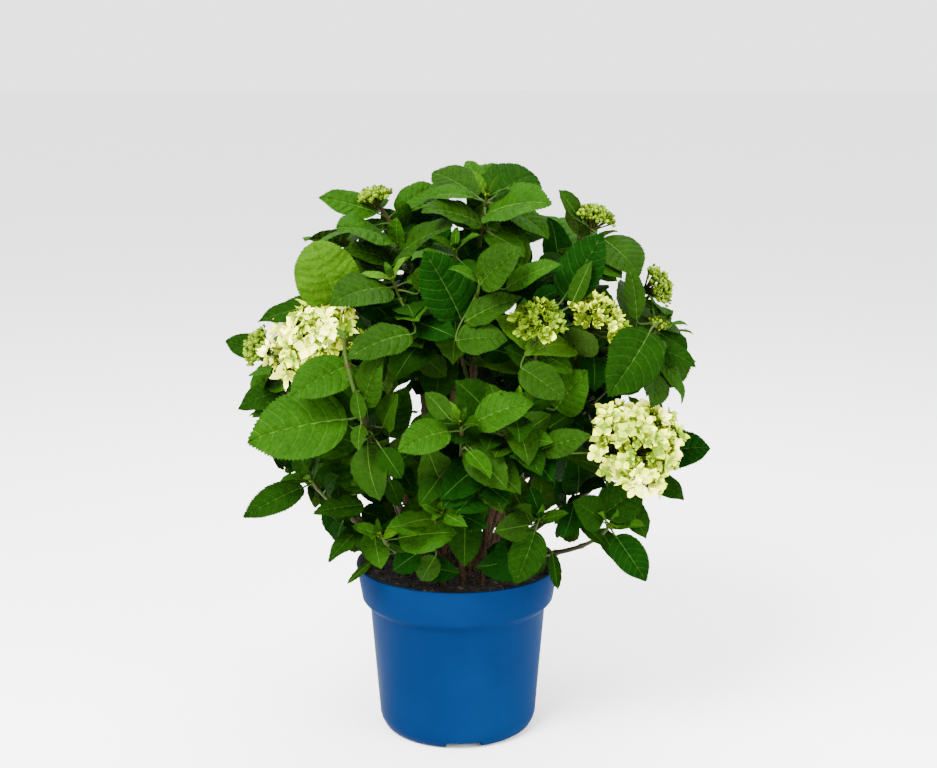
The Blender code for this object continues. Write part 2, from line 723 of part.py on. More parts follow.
def build_soil(material):
    """The soil fills the pot to just under its rim, a hair clear of the wall and the floor."""
    band_foot = POT_HEIGHT - BAND_HEIGHT
    profile = [
        (BODY_FOOT_RADIUS - WALL - 0.0105, FLOOR_HEIGHT + GAP),
        (BODY_FOOT_RADIUS - WALL - 0.0026, FLOOR_HEIGHT + 0.0065),
        (BODY_TOP_RADIUS - WALL - 0.0006, band_foot - 0.0100),
        (BAND_FOOT_RADIUS - WALL - 0.0007, band_foot + 0.0030),
        (BAND_FOOT_RADIUS - WALL + 0.0008, SOIL_TOP - SOIL_EDGE_DROP),
        (SOIL_FLAT_RADIUS, SOIL_TOP),
    ]
    new_object("soil", turned(profile), material)


def build_mass(name, paths, direction, leaves, joint_radius, material, dice):
    """One solid: the stem, with its side shoots, flower heads and leaves fused on."""
    stem = bmesh.new()
    add_tube(stem, paths[0][0], joint_radius, CANE_TIP_RADIUS, TWIG_SIDES, foot_cut=direction)
    solids = []
    for path, _, _ in paths[1:]:
        twig = bmesh.new()
        add_tube(twig, path, SHOOT_FOOT_RADIUS, SHOOT_TIP_RADIUS, TWIG_SIDES)
        solids.append(twig)
    for path, kind, _ in paths:
        solids += head_solids(path, kind, dice)
    for leaf in leaves:
        blade = bmesh.new()
        add_skin(blade, *leaf_rings(leaf))
        solids.append(blade)
    fuse(new_object("mass_" + name, stem, material), solids, material)


def main():
    for obj in list(bpy.data.objects):
        bpy.data.objects.remove(obj)
    pot_blue = make_material("pot_blue", (0.01, 0.10, 0.35), 0.38)
    soil_brown = make_material("soil_brown", (0.035, 0.022, 0.014), 0.95)
    cane_bark = make_material("cane_bark", (0.16, 0.10, 0.05), 0.8)
    leaf_green = make_material("leaf_green", (0.07, 0.22, 0.02), 0.5)
    build_pot(pot_blue)
    build_soil(soil_brown)

    canes = {name: cane_path(name, foot) for name, foot in cane_feet().items()}
    spaces = spaces_of(canes)
    grown = {name: grow_mass(name, canes[name], spaces) for name in MASSES}
    joint_radius = CANE_FOOT_RADIUS + (CANE_TIP_RADIUS - CANE_FOOT_RADIUS) * BARE_SHARE
    limbs = {}
    for name, (cane, paths, direction) in grown.items():
        bm = bmesh.new()
        add_tube(bm, cane, CANE_FOOT_RADIUS, joint_radius, CANE_SIDES, foot_cut=UP, tip_cut=direction)
        new_object("cane_" + name, bm, cane_bark)
        fat = CLEARANCE + CANE_FOOT_RADIUS
        trees = [mesh_tree(lambda bm: add_tube(bm, cane, fat, joint_radius + CLEARANCE, CANE_SIDES))]
        for path, kind, _ in paths:
            radius, flatness, _ = HEADS[kind]
            axis = head_axis(path)
            trees.append(mesh_tree(lambda bm: add_ball(bm, path[-1], axis, radius * 1.1, flatness)))
        limbs[name] = trees
    stems = {name: [mesh_tree(lambda bm: add_tube(bm, path, 0.004, 0.003, 4)) for path, _, _ in paths]
             for name, (_, paths, _) in grown.items()}

    placed, leaves = [], {}
    for name, (_, paths, _) in grown.items():
        dice = random.Random(SEED)
        leaves[name] = [laid_leaf(row, paths, dice) for row in LAID_LEAVES.get(name, [])]
        placed += [(name, *leaf_trees(leaf, CLEARANCE)) for leaf in leaves[name]]
    everyones = [tree for trees in limbs.values() for tree in trees]
    for index, (name, (_, paths, direction)) in enumerate(grown.items()):
        dice = random.Random(SEED + index)
        obstacles = everyones + [tree for other, trees in stems.items() if other != name for tree in trees]
        for path, kind, turn in paths:
            leaves[name] += grow_leaves(name, path, kind, turn, spaces, obstacles, placed, dice)
    for index, (name, (_, paths, direction)) in enumerate(grown.items()):
        dice, more = random.Random(300 + index), []
        obstacles = everyones + [tree for other, trees in stems.items() if other != name for tree in trees]
        for _ in range(INNER_TRIES):
            leaf = inner_leaf(paths, dice)
            if (leaf[1] - leaf[0]).length < LONGEST_PETIOLE and fits(name, leaf, spaces, obstacles, placed, stems[name]):
                placed.append((name, *leaf_trees(leaf, CLEARANCE)))
                more.append(leaf)
            if len(more) == INNER_LEAVES:
                break
        leaves[name] += more
        build_mass(name, paths, direction, leaves[name], joint_radius, leaf_green, dice)


if __name__ == "__main__":
    main()
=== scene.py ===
import math
import random

import bpy
import numpy as np
from mathutils import Matrix, Vector, noise
from mathutils.bvhtree import BVHTree
from mathutils.kdtree import KDTree


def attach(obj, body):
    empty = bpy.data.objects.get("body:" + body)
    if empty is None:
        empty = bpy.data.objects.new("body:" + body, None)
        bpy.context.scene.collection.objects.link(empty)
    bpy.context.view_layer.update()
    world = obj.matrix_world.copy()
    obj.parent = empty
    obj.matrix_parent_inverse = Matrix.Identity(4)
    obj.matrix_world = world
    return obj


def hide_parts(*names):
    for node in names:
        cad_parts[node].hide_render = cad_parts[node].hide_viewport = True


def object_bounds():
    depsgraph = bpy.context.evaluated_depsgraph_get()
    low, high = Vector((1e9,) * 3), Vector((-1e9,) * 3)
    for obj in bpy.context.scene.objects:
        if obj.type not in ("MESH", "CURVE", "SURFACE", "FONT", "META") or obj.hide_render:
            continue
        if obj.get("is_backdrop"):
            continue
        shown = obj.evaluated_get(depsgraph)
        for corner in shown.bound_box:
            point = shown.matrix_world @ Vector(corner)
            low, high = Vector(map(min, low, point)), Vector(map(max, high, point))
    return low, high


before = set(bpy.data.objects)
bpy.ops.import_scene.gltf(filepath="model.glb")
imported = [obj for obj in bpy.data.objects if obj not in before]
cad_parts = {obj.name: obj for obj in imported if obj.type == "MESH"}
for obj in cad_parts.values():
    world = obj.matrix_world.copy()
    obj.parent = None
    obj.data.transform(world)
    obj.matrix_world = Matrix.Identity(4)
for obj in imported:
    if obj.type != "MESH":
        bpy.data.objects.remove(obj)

cad_low, cad_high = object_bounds()


# ---- Pot ----
# A 5 litre nursery container, injection moulded in mid blue polypropylene with a dark inside. A wider
# band runs under the rim for stacking, and four channels across the underside let the drain holes
# breathe.

POT_HEIGHT = 0.194
RIM_RADIUS = 0.1155
BAND_HEIGHT = 0.040
BAND_FOOT_RADIUS = 0.1094
BODY_TOP_RADIUS = 0.0999
BODY_FOOT_RADIUS = 0.0903
UNDERSIDE_RADIUS = 0.0772
WALL = 0.0025
FLOOR_HEIGHT = 0.012
POT_SIDES = 128
CHANNELS = 4
CHANNEL_WIDTH = 0.040
CHANNEL_HEIGHT = 0.0085
CHANNEL_INNER_END = 0.030
CHANNEL_TURN = math.radians(5)
DRAIN_RADIUS = 0.006
DRAIN_FROM_AXIS = 0.052


class Wire:
    """A number or colour inside a finish. Sums on it add their Math nodes."""

    def __init__(self, finish, socket):
        self.finish = finish
        self.socket = socket

    def sum(self, operation, first, second):
        return self.finish.node("ShaderNodeMath", {"operation": operation}, {0: first, 1: second})

    def __add__(self, other):
        return self.sum("ADD", self, other)

    def __radd__(self, other):
        return self.sum("ADD", other, self)

    def __mul__(self, other):
        return self.sum("MULTIPLY", self, other)

    def __rmul__(self, other):
        return self.sum("MULTIPLY", other, self)


class Finish:
    """A material with a Principled shader, and the nodes that drive its colour, roughness and relief."""

    def __init__(self, name, roughness=0.5):
        self.material = bpy.data.materials.new(name)
        self.material.use_nodes = True
        self.tree = self.material.node_tree
        self.shader = self.tree.nodes["Principled BSDF"]
        self.feed(self.shader.inputs["Roughness"], roughness)

    def feed(self, socket, value):
        if isinstance(value, Wire):
            self.tree.links.new(value.socket, socket)
        elif isinstance(value, tuple) and socket.type == "RGBA":
            socket.default_value = (*value, 1)
        else:
            socket.default_value = value

    def node(self, kind, settings, sockets, output=0):
        made = self.tree.nodes.new(kind)
        for name, value in settings.items():
            setattr(made, name, value)
        for name, value in sockets.items():
            self.feed(made.inputs[name], value)
        return Wire(self, made.outputs[output])

    def noise(self, scale, detail=2.0, stretch=(1, 1, 1)):
        place = self.node("ShaderNodeTexCoord", {}, {}, "Object")
        place = self.node("ShaderNodeMapping", {}, {"Vector": place, "Scale": stretch})
        return self.node("ShaderNodeTexNoise", {}, {"Vector": place, "Scale": scale, "Detail": detail})

    def share(self, value, low, high):
        """0 below low and 1 above high."""
        return self.node("ShaderNodeMapRange", {}, {"Value": value, "From Min": low, "From Max": high})

    def mix(self, factor, first, second):
        sockets = {0: factor, 6: first, 7: second}
        return self.node("ShaderNodeMix", {"data_type": "RGBA"}, sockets, 2)

    def colour(self, value):
        self.feed(self.shader.inputs["Base Color"], value)
        return self

    def rough(self, value):
        self.feed(self.shader.inputs["Roughness"], value)
        return self

    def shine(self, level):
        self.feed(self.shader.inputs["Specular IOR Level"], level)
        return self

    def relief(self, height, depth, strength=1.0):
        bump = self.node("ShaderNodeBump", {}, {"Height": height, "Strength": strength, "Distance": depth})
        self.feed(self.shader.inputs["Normal"], bump)
        return self


def begin(piece=None):
    """Nothing in edit mode, and nothing selected but that piece."""
    if bpy.context.object and bpy.context.object.mode != "OBJECT":
        bpy.ops.object.mode_set(mode="OBJECT")
    bpy.ops.object.select_all(action="DESELECT")
    if piece:
        piece.select_set(True)
        bpy.context.view_layer.objects.active = piece


def settle(piece, name):
    """Names a new piece, and puts its place and turn into its mesh."""
    begin(piece)
    bpy.ops.object.transform_apply(location=True, rotation=True, scale=True)
    piece.name = name
    piece.data.name = name
    return piece


def apply_modifier(piece, kind, **settings):
    begin(piece)
    modifier = piece.modifiers.new("step", kind)
    for name, value in settings.items():
        setattr(modifier, name, value)
    bpy.ops.object.modifier_apply(modifier=modifier.name)


def cut_away(piece, cutter):
    apply_modifier(piece, "BOOLEAN", operation="DIFFERENCE", solver="MANIFOLD", object=cutter)
    bpy.data.objects.remove(cutter)


def raise_wall(profile):
    """Extrudes what is selected from station to station of (radius, height)."""
    radius, height = profile[0]
    for next_radius, next_height in profile[1:]:
        bpy.ops.mesh.extrude_region_move(TRANSFORM_OT_translate={"value": (0, 0, next_height - height)})
        size = next_radius / radius
        bpy.ops.transform.resize(value=(size, size, 1), center_override=(0, 0, next_height))
        radius, height = next_radius, next_height


BAND_FOOT = POT_HEIGHT - BAND_HEIGHT
pot_outside = [
    (UNDERSIDE_RADIUS, 0.0),
    (UNDERSIDE_RADIUS + 0.0040, 0.0012),
    (UNDERSIDE_RADIUS + 0.0078, 0.0040),
    (BODY_FOOT_RADIUS - 0.0020, 0.0100),
    (BODY_FOOT_RADIUS - 0.0005, 0.0155),
    (BODY_FOOT_RADIUS, 0.0220),
    (BODY_TOP_RADIUS, BAND_FOOT - 0.0100),
    (BODY_TOP_RADIUS + 0.0012, BAND_FOOT - 0.0082),
    (BAND_FOOT_RADIUS - 0.0022, BAND_FOOT - 0.0025),
    (BAND_FOOT_RADIUS - 0.0004, BAND_FOOT),
    (BAND_FOOT_RADIUS, BAND_FOOT + 0.0025),
    (RIM_RADIUS, POT_HEIGHT - 0.0014),
    (RIM_RADIUS - 0.0004, POT_HEIGHT - 0.0003),
    (RIM_RADIUS - 0.0012, POT_HEIGHT),
]
pot_inside = [
    (RIM_RADIUS - WALL + 0.0002, POT_HEIGHT),
    (RIM_RADIUS - WALL - 0.0002, POT_HEIGHT - 0.0006),
    (BAND_FOOT_RADIUS - WALL, BAND_FOOT + 0.0030),
    (BODY_TOP_RADIUS - WALL, BAND_FOOT - 0.0100),
    (BODY_FOOT_RADIUS - WALL - 0.0020, FLOOR_HEIGHT + 0.0060),
    (BODY_FOOT_RADIUS - WALL - 0.0100, FLOOR_HEIGHT),
]
begin()
bpy.ops.mesh.primitive_circle_add(vertices=POT_SIDES, radius=UNDERSIDE_RADIUS, fill_type="NGON")
pot = bpy.context.active_object
bpy.ops.object.mode_set(mode="EDIT")
bpy.ops.mesh.select_all(action="SELECT")
raise_wall(pot_outside + pot_inside)
bpy.ops.mesh.select_all(action="SELECT")
bpy.ops.mesh.normals_make_consistent(inside=False)
bpy.ops.object.mode_set(mode="OBJECT")
settle(pot, "nursery_pot")
for k in range(CHANNELS):
    turn = CHANNEL_TURN + math.pi * (2 * k / CHANNELS - 0.5)
    length = RIM_RADIUS - CHANNEL_INNER_END
    middle = CHANNEL_INNER_END + length / 2
    at = (middle * math.cos(turn), middle * math.sin(turn), 0)
    begin()
    bpy.ops.mesh.primitive_cube_add(size=1, location=at, rotation=(0, 0, turn))
    channel = bpy.context.active_object
    channel.scale = (length, CHANNEL_WIDTH, 2 * CHANNEL_HEIGHT)
    settle(channel, "channel")
    apply_modifier(channel, "BEVEL", width=0.0014, segments=3)
    cut_away(pot, channel)
    at = (DRAIN_FROM_AXIS * math.cos(turn), DRAIN_FROM_AXIS * math.sin(turn), FLOOR_HEIGHT)
    begin()
    bpy.ops.mesh.primitive_cylinder_add(vertices=32, radius=DRAIN_RADIUS, depth=4 * FLOOR_HEIGHT, location=at)
    cut_away(pot, settle(bpy.context.active_object, "drain"))
begin(pot)
bpy.ops.object.shade_smooth_by_angle(angle=math.radians(34))

blue = Finish("pot_blue")
clouds = blue.noise(9, 3)
streaks = blue.noise(60, 2, (1, 1, 0.04))
grit = blue.noise(1400, 2)
haze = blue.share(clouds, 0.42, 0.68)
blue.colour(blue.mix(haze * 0.5 + streaks * 0.12, (0.0001, 0.0093, 0.0415), (0.0002, 0.0148, 0.0578)))
blue.rough(0.40 + haze * 0.12 + streaks * 0.08)
blue.relief(grit * 0.7 + streaks * 0.3, 0.00012, 0.5)
blue.shine(0.008)
dark = Finish("pot_inside")
dark.colour(dark.mix(dark.noise(40), (0.0016, 0.0018, 0.0020), (0.0041, 0.0043, 0.0050)))
dark.rough(0.55 + dark.noise(200) * 0.2)
pot.data.materials.clear()
pot.data.materials.append(blue.material)
pot.data.materials.append(dark.material)
for face in pot.data.polygons:
    middle = face.center
    inward = face.normal.x * middle.x + face.normal.y * middle.y < -0.0005
    over_floor = face.normal.z > 0.5 and FLOOR_HEIGHT - 0.001 < middle.z < FLOOR_HEIGHT + 0.01
    if (inward and middle.z > FLOOR_HEIGHT + 0.001 and math.hypot(middle.x, middle.y) > 0.07) or over_floor:
        face.material_index = 1
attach(pot, "root")
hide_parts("pot")


# ---- Potting soil ----
# Peat-based potting soil, filled to just under the rim and settled lower at the wall. Bark chips,
# splinters of wood and a few root fibres lie on it.

SOIL_TOP = 0.180
SOIL_FLAT_RADIUS = 0.060
SOIL_EDGE_DROP = 0.004
SOIL_WALL_RADIUS = BAND_FOOT_RADIUS - WALL + 0.0010
SOIL_SEED = 3


def soil_height(x, y):
    """How high the soil lies, with its lumps."""
    off_axis = math.hypot(x, y)
    slope = min(max((off_axis - SOIL_FLAT_RADIUS) / (SOIL_WALL_RADIUS - SOIL_FLAT_RADIUS), 0.0), 1.0)
    lumps = noise.noise(Vector((x, y, 0)) * 70) * 0.0028 + noise.noise(Vector((x, y, 0.3)) * 210) * 0.0014
    crumbs = noise.noise(Vector((x, y, 0.7)) * 600) * 0.0006
    return SOIL_TOP - SOIL_EDGE_DROP * slope - 0.0010 + lumps + crumbs


soil_sides = [
    (BODY_FOOT_RADIUS - WALL - 0.0105, FLOOR_HEIGHT + 0.0003),
    (BODY_FOOT_RADIUS - WALL - 0.0026, FLOOR_HEIGHT + 0.0065),
    (BODY_TOP_RADIUS - WALL - 0.0006, BAND_FOOT - 0.0100),
    (BAND_FOOT_RADIUS - WALL - 0.0007, BAND_FOOT + 0.0030),
    (SOIL_WALL_RADIUS, SOIL_TOP - SOIL_EDGE_DROP - 0.0010),
]
SOIL_RINGS = 46
begin()
bpy.ops.mesh.primitive_circle_add(vertices=160, radius=soil_sides[0][0], fill_type="NGON")
soil = bpy.context.active_object
bpy.ops.object.mode_set(mode="EDIT")
bpy.ops.mesh.select_all(action="SELECT")
bpy.ops.transform.translate(value=(0, 0, soil_sides[0][1]))
raise_wall(soil_sides)
for ring in range(SOIL_RINGS):
    bpy.ops.mesh.inset(thickness=SOIL_WALL_RADIUS / (SOIL_RINGS + 1), use_even_offset=True)
bpy.ops.mesh.poke()
bpy.ops.mesh.select_all(action="SELECT")
bpy.ops.mesh.normals_make_consistent(inside=False)
bpy.ops.object.mode_set(mode="OBJECT")
settle(soil, "potting_soil")
for point in soil.data.vertices:
    if point.co.z > SOIL_TOP - SOIL_EDGE_DROP - 0.0012:
        point.co.z = soil_height(point.co.x, point.co.y)
soil.data.shade_smooth()
peat = Finish("peat", roughness=0.95)
grain = peat.noise(900, 4)
clods = peat.noise(170, 3)
dry = peat.share(clods * 0.6 + grain * 0.4, 0.50, 0.66)
peat.colour(peat.mix(dry, (0.0018, 0.0013, 0.0010), (0.0132, 0.0079, 0.0045)))
peat.relief(grain * 0.6 + clods, 0.0016, 0.9)
soil.data.materials.append(peat.material)
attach(soil, "root")
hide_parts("soil")


class Heap:
    """Many small shapes of one kind, gathered as arrays and joined into meshes."""

    def __init__(self):
        self.points, self.faces, self.slots = [], [], []
        self.point_count = 0

    def add(self, points, faces, slots):
        """Points as rows, faces as rows of three point numbers, and a material slot or one for each face."""
        self.points.append(np.asarray(points, float))
        self.faces.append(np.asarray(faces, int) + self.point_count)
        self.slots.append(np.broadcast_to(slots, len(faces)).astype(int))
        self.point_count += len(points)

    def face_count(self):
        return sum(len(f) for f in self.faces)

    def join(self, name, finishes, crease=50):
        """One mesh piece of all that was gathered."""
        points, faces, slots = map(np.concatenate, (self.points, self.faces, self.slots))
        mesh = bpy.data.meshes.new(name)
        mesh.vertices.add(len(points))
        mesh.vertices.foreach_set("co", points.ravel())
        mesh.loops.add(3 * len(faces))
        mesh.loops.foreach_set("vertex_index", faces.ravel())
        mesh.polygons.add(len(faces))
        mesh.polygons.foreach_set("loop_start", np.arange(0, 3 * len(faces), 3))
        for finish in finishes:
            mesh.materials.append(finish.material)
        mesh.polygons.foreach_set("material_index", slots)
        mesh.update(calc_edges=True)
        mesh.shade_smooth()
        mesh.set_sharp_from_angle(angle=math.radians(crease))
        piece = bpy.data.objects.new(name, mesh)
        bpy.context.scene.collection.objects.link(piece)
        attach(piece, "root")
        return piece


CHIPS = 900
FIBRES = 260
FIBRE_REACH = 0.104
BOX_FACES = [
    (0, 2, 1), (1, 2, 3), (4, 5, 6), (5, 7, 6), (0, 1, 4), (1, 5, 4),
    (2, 6, 3), (3, 6, 7), (0, 4, 2), (2, 4, 6), (1, 3, 5), (3, 7, 5),
]


def unit_rows(rows):
    return rows / np.maximum(np.linalg.norm(rows, axis=1, keepdims=True), 1e-12)


def tube(points, radii, sides):
    """Skin of a limb round a run of points, closed at both ends: its points by rings, and its faces."""
    points = np.array([tuple(p) for p in points], float)
    radii = np.asarray(radii, float) * np.ones(len(points)) if np.ndim(radii) < 2 else radii
    ways = unit_rows(np.gradient(points, axis=0))
    side = np.cross(ways[0], (0.31, 0.2, 0.93))
    turns = np.arange(sides) * (2 * math.pi / sides)
    rings = []
    for k, way in enumerate(ways):
        side = side - way * (side @ way)
        side = side / np.linalg.norm(side)
        spokes = np.outer(np.cos(turns), side) + np.outer(np.sin(turns), np.cross(way, side))
        rings.append(points[k] + spokes * np.reshape(radii[k], (-1, 1)))
    skin = np.concatenate(rings + [points[:1], points[-1:]])
    i = np.arange(sides)
    j = (i + 1) % sides
    start = np.arange(len(points) - 1)[:, None] * sides
    a, b = (start + i).ravel(), (start + j).ravel()
    last = (len(points) - 1) * sides
    low, high = np.full(sides, len(skin) - 2), np.full(sides, len(skin) - 1)
    faces = np.concatenate([
        np.stack((a, b, b + sides), 1), np.stack((a, b + sides, a + sides), 1),
        np.stack((i, low, j), 1), np.stack((last + i, last + j, high), 1),
    ])
    return skin, faces


dice = random.Random(SOIL_SEED)
bark_bits = Heap()
for k in range(CHIPS):
    turn, off_axis = dice.uniform(0, 2 * math.pi), SOIL_WALL_RADIUS * math.sqrt(dice.uniform(0, 0.93))
    x, y = off_axis * math.cos(turn), off_axis * math.sin(turn)
    large = dice.random() ** 3
    size = np.array((0.0022 + 0.0075 * large, 0.0013 + 0.0035 * large, 0.0005 + 0.0012 * large))
    corners = np.array([(i & 1, i >> 1 & 1, i >> 2 & 1) for i in range(8)]) - 0.5
    broken = np.array([[dice.uniform(-1, 1) for _ in range(3)] for _ in range(8)])
    corners = corners * size * (1 + 0.35 * broken)
    lean = Matrix.Rotation(dice.uniform(0, 2 * math.pi), 3, "Z")
    lean = lean @ Matrix.Rotation(dice.gauss(0, 0.35), 3, "X")
    lean = np.array(lean @ Matrix.Rotation(dice.gauss(0, 0.35), 3, "Y"))
    chip = corners @ lean.T + (x, y, soil_height(x, y) + size[2] * 0.3)
    bark_bits.add(chip, BOX_FACES, dice.choices((0, 1, 2, 3), (5, 4, 2, 1))[0])
for k in range(FIBRES):
    turn, off_axis = dice.uniform(0, 2 * math.pi), SOIL_WALL_RADIUS * math.sqrt(dice.uniform(0, 0.85))
    at = np.array((off_axis * math.cos(turn), off_axis * math.sin(turn)))
    way = dice.uniform(0, 6.28)
    run, bend = dice.uniform(0.003, 0.012), dice.uniform(-0.5, 0.5)
    line = []
    for step in range(4):
        at = at + run / 3 * np.array((math.cos(way), math.sin(way)))
        way += bend
        x, y = at * min(1, FIBRE_REACH / math.hypot(*at))
        line.append((x, y, soil_height(x, y) + dice.uniform(0.0001, 0.0012)))
    skin, faces = tube(line, dice.uniform(0.00012, 0.00035), 3)
    bark_bits.add(skin, faces, dice.choices((1, 2, 3), (2, 3, 2))[0])


def wood_finish(name, darker, lighter):
    wood = Finish(name, roughness=0.9)
    fibre = wood.noise(500, 3)
    wood.colour(wood.mix(wood.share(fibre, 0.3, 0.7), darker, lighter))
    return wood.relief(fibre, 0.0004, 0.7)


chips = bark_bits.join("bark_chips", [
    wood_finish("chip_dark", (0.0025, 0.0016, 0.0011), (0.0085, 0.0047, 0.0028)),
    wood_finish("chip_brown", (0.0092, 0.0050, 0.0025), (0.0276, 0.0141, 0.0060)),
    wood_finish("chip_tan", (0.0333, 0.0180, 0.0072), (0.0741, 0.0430, 0.0180)),
    wood_finish("chip_pale", (0.0584, 0.0380, 0.0170), (0.1219, 0.0841, 0.0396)),
], crease=30)


# ---- Growth of the shrub ----
# Eighteen canes come up from the crown of the root and fan out to a dome, each ending in a flower head.
# Side shoots fork off high up. Leaves stand in opposite pairs, each pair a quarter turn from the one
# above. This is worked out first as paths and places, which the sections after it clothe.

GAP = 0.0003
UP = Vector((0, 0, 1))
CROWN_MIDDLE = Vector((0.012, 0, 0.339))
CROWN_HALF_WIDTH = 0.250
CROWN_HALF_DEPTH = 0.225
CROWN_RISE = 0.290
CANE_FOOT_RADIUS = 0.0042
CANE_TIP_RADIUS = 0.0018
SHOOT_FOOT_RADIUS = 0.0025
SHOOT_TIP_RADIUS = 0.0016
CANE_STEPS = 14
SHOOT_STEPS = 6
INNER_FEET_RADIUS = 0.020
OUTER_FEET_RADIUS = 0.046
INNER_FEET_LIFT = 45
BARE_SHARE = 0.26
LEAFY_SHARES = (0.42, 0.58, 0.78, 0.98)
SIDE_SHOOT_START = 0.12
SIDE_SHOOT_SPACING = 0.16
LEAF_LENGTH = 0.104
LEAF_WIDTH_SHARE = 0.64
LEAF_THICKNESS_SHARE = 0.016
PETIOLE_SHARE = 0.26
SHORTEST_PETIOLE = 0.012
PETIOLE_ROOT_RADIUS = 0.0007
PETIOLE_TIP_RADIUS = 0.0013
PAIR_LENGTHS = (0.72, 0.94, 1.0, 1.0, 0.94, 0.84)
PAIR_PITCHES = (52, 64, 72, 78, 82, 86)
PAIR_DROOPS = (0.12, 0.30, 0.42, 0.48, 0.52, 0.56)
FIRST_GAP = 0.033
GAP_GROWTH = 1.13
BARE_FOOT = 0.018
LAID_STATIONS = (0.28, 0.70)
GROWN_STATIONS = (0.26, 0.66)
CLEARANCE = 0.0012
LONGEST_PETIOLE = 0.050
INNER_TRIES = 900
SMALLER_TRIES = 800
INNER_SEED, INNER_TINT_SEED, TINT_SEED = 300, 700, 100
INNER_FRONT_REACH = 1.0
FRONT_LIGHT = Vector((0, -0.66, 0.60))
SKIRT_SLOPE = 1.5
GREATEST_REACH = 1.06
LIGHT, BRIGHT, MIDDLE, DEEP, DARK = range(5)
PAIR_TINTS = (BRIGHT, BRIGHT, MIDDLE, MIDDLE, DEEP, DARK)
# Tints of the inner leaves, up to that share of the way out to the dome: darker further in, as painted shade
INNER_TINTS = ((0.62, (DARK, DARK, DEEP)), (0.8, (DEEP, DARK, MIDDLE)), (9, (BRIGHT, MIDDLE, DEEP)))

# Flower heads: radius across, height over radius, distance from the middle down to the top leaf pair
HEADS = {
    "bloom": (0.050, 0.80, 0.052),
    "small_bloom": (0.044, 0.84, 0.050),
    "opening": (0.026, 0.80, 0.046),
    "buds": (0.019, 0.55, 0.034),
    "young": (0.008, 0.60, 0.012),
}
# Each mass: its cane's and its side shoots' flower heads, as (azimuth, lift, reach, kind, turn)
MASSES = {
    "top": [(284, 71, 1.02, "young", 10)],
    "upper_left": [(193, 66, 1.02, "buds", 5), (150, 50, 0.94, "young", 60)],
    "upper_right": [(352, 57, 1.02, "buds", 60), (20, 52, 0.94, "young", 20)],
    "right": [(354, 36, 1.02, "buds", 70), (338, 29, 1.0, "young", 20), (12, 24, 0.98, "young", 50)],
    "front_right": [(317, 36, 0.92, "opening", 60), (293, 36, 0.93, "opening", 15)],
    "front_high": [(263, 60, 0.90, "young", 30), (236, 50, 0.88, "young", 60)],
    "left": [(214, 30, 0.90, "small_bloom", 50), (190, 22, 1.00, "buds", 80)],
    "front_left": [(231, 31, 0.93, "young", 5)],
    "front": [(268, 14, 0.86, "young", 0), (284, 18, 0.84, "young", 45), (262, -9, 0.80, "young", 20)],
    "low_left": [(221, -3, 0.88, "young", 40), (192, 6, 0.84, "young", 0)],
    "low_right": [(322, 5, 0.90, "bloom", 40), (345, 6, 0.88, "young", 10)],
    "skirt_left": [(238, -20, 0.74, "young", 20), (258, -14, 0.70, "young", 60)],
    "skirt_right": [(318, -16, 0.84, "young", 60), (296, -16, 0.70, "young", 30)],
    "back_left": [(132, 16, 0.96, "bloom", 20), (166, 4, 0.92, "young", 60)],
    "back": [(98, 36, 0.97, "buds", 0), (84, 8, 0.92, "opening", 50)],
    "back_high": [(72, 64, 0.96, "buds", 30), (118, 56, 0.94, "young", 20)],
    "back_right": [(46, 22, 0.98, "opening", 20), (24, 0, 0.92, "young", 70)],
    "back_skirt": [(124, -14, 0.84, "young", 20), (60, -16, 0.84, "young", 80)],
}
CANE_BENDS = {"front_left": (240, 13, 0.86)}
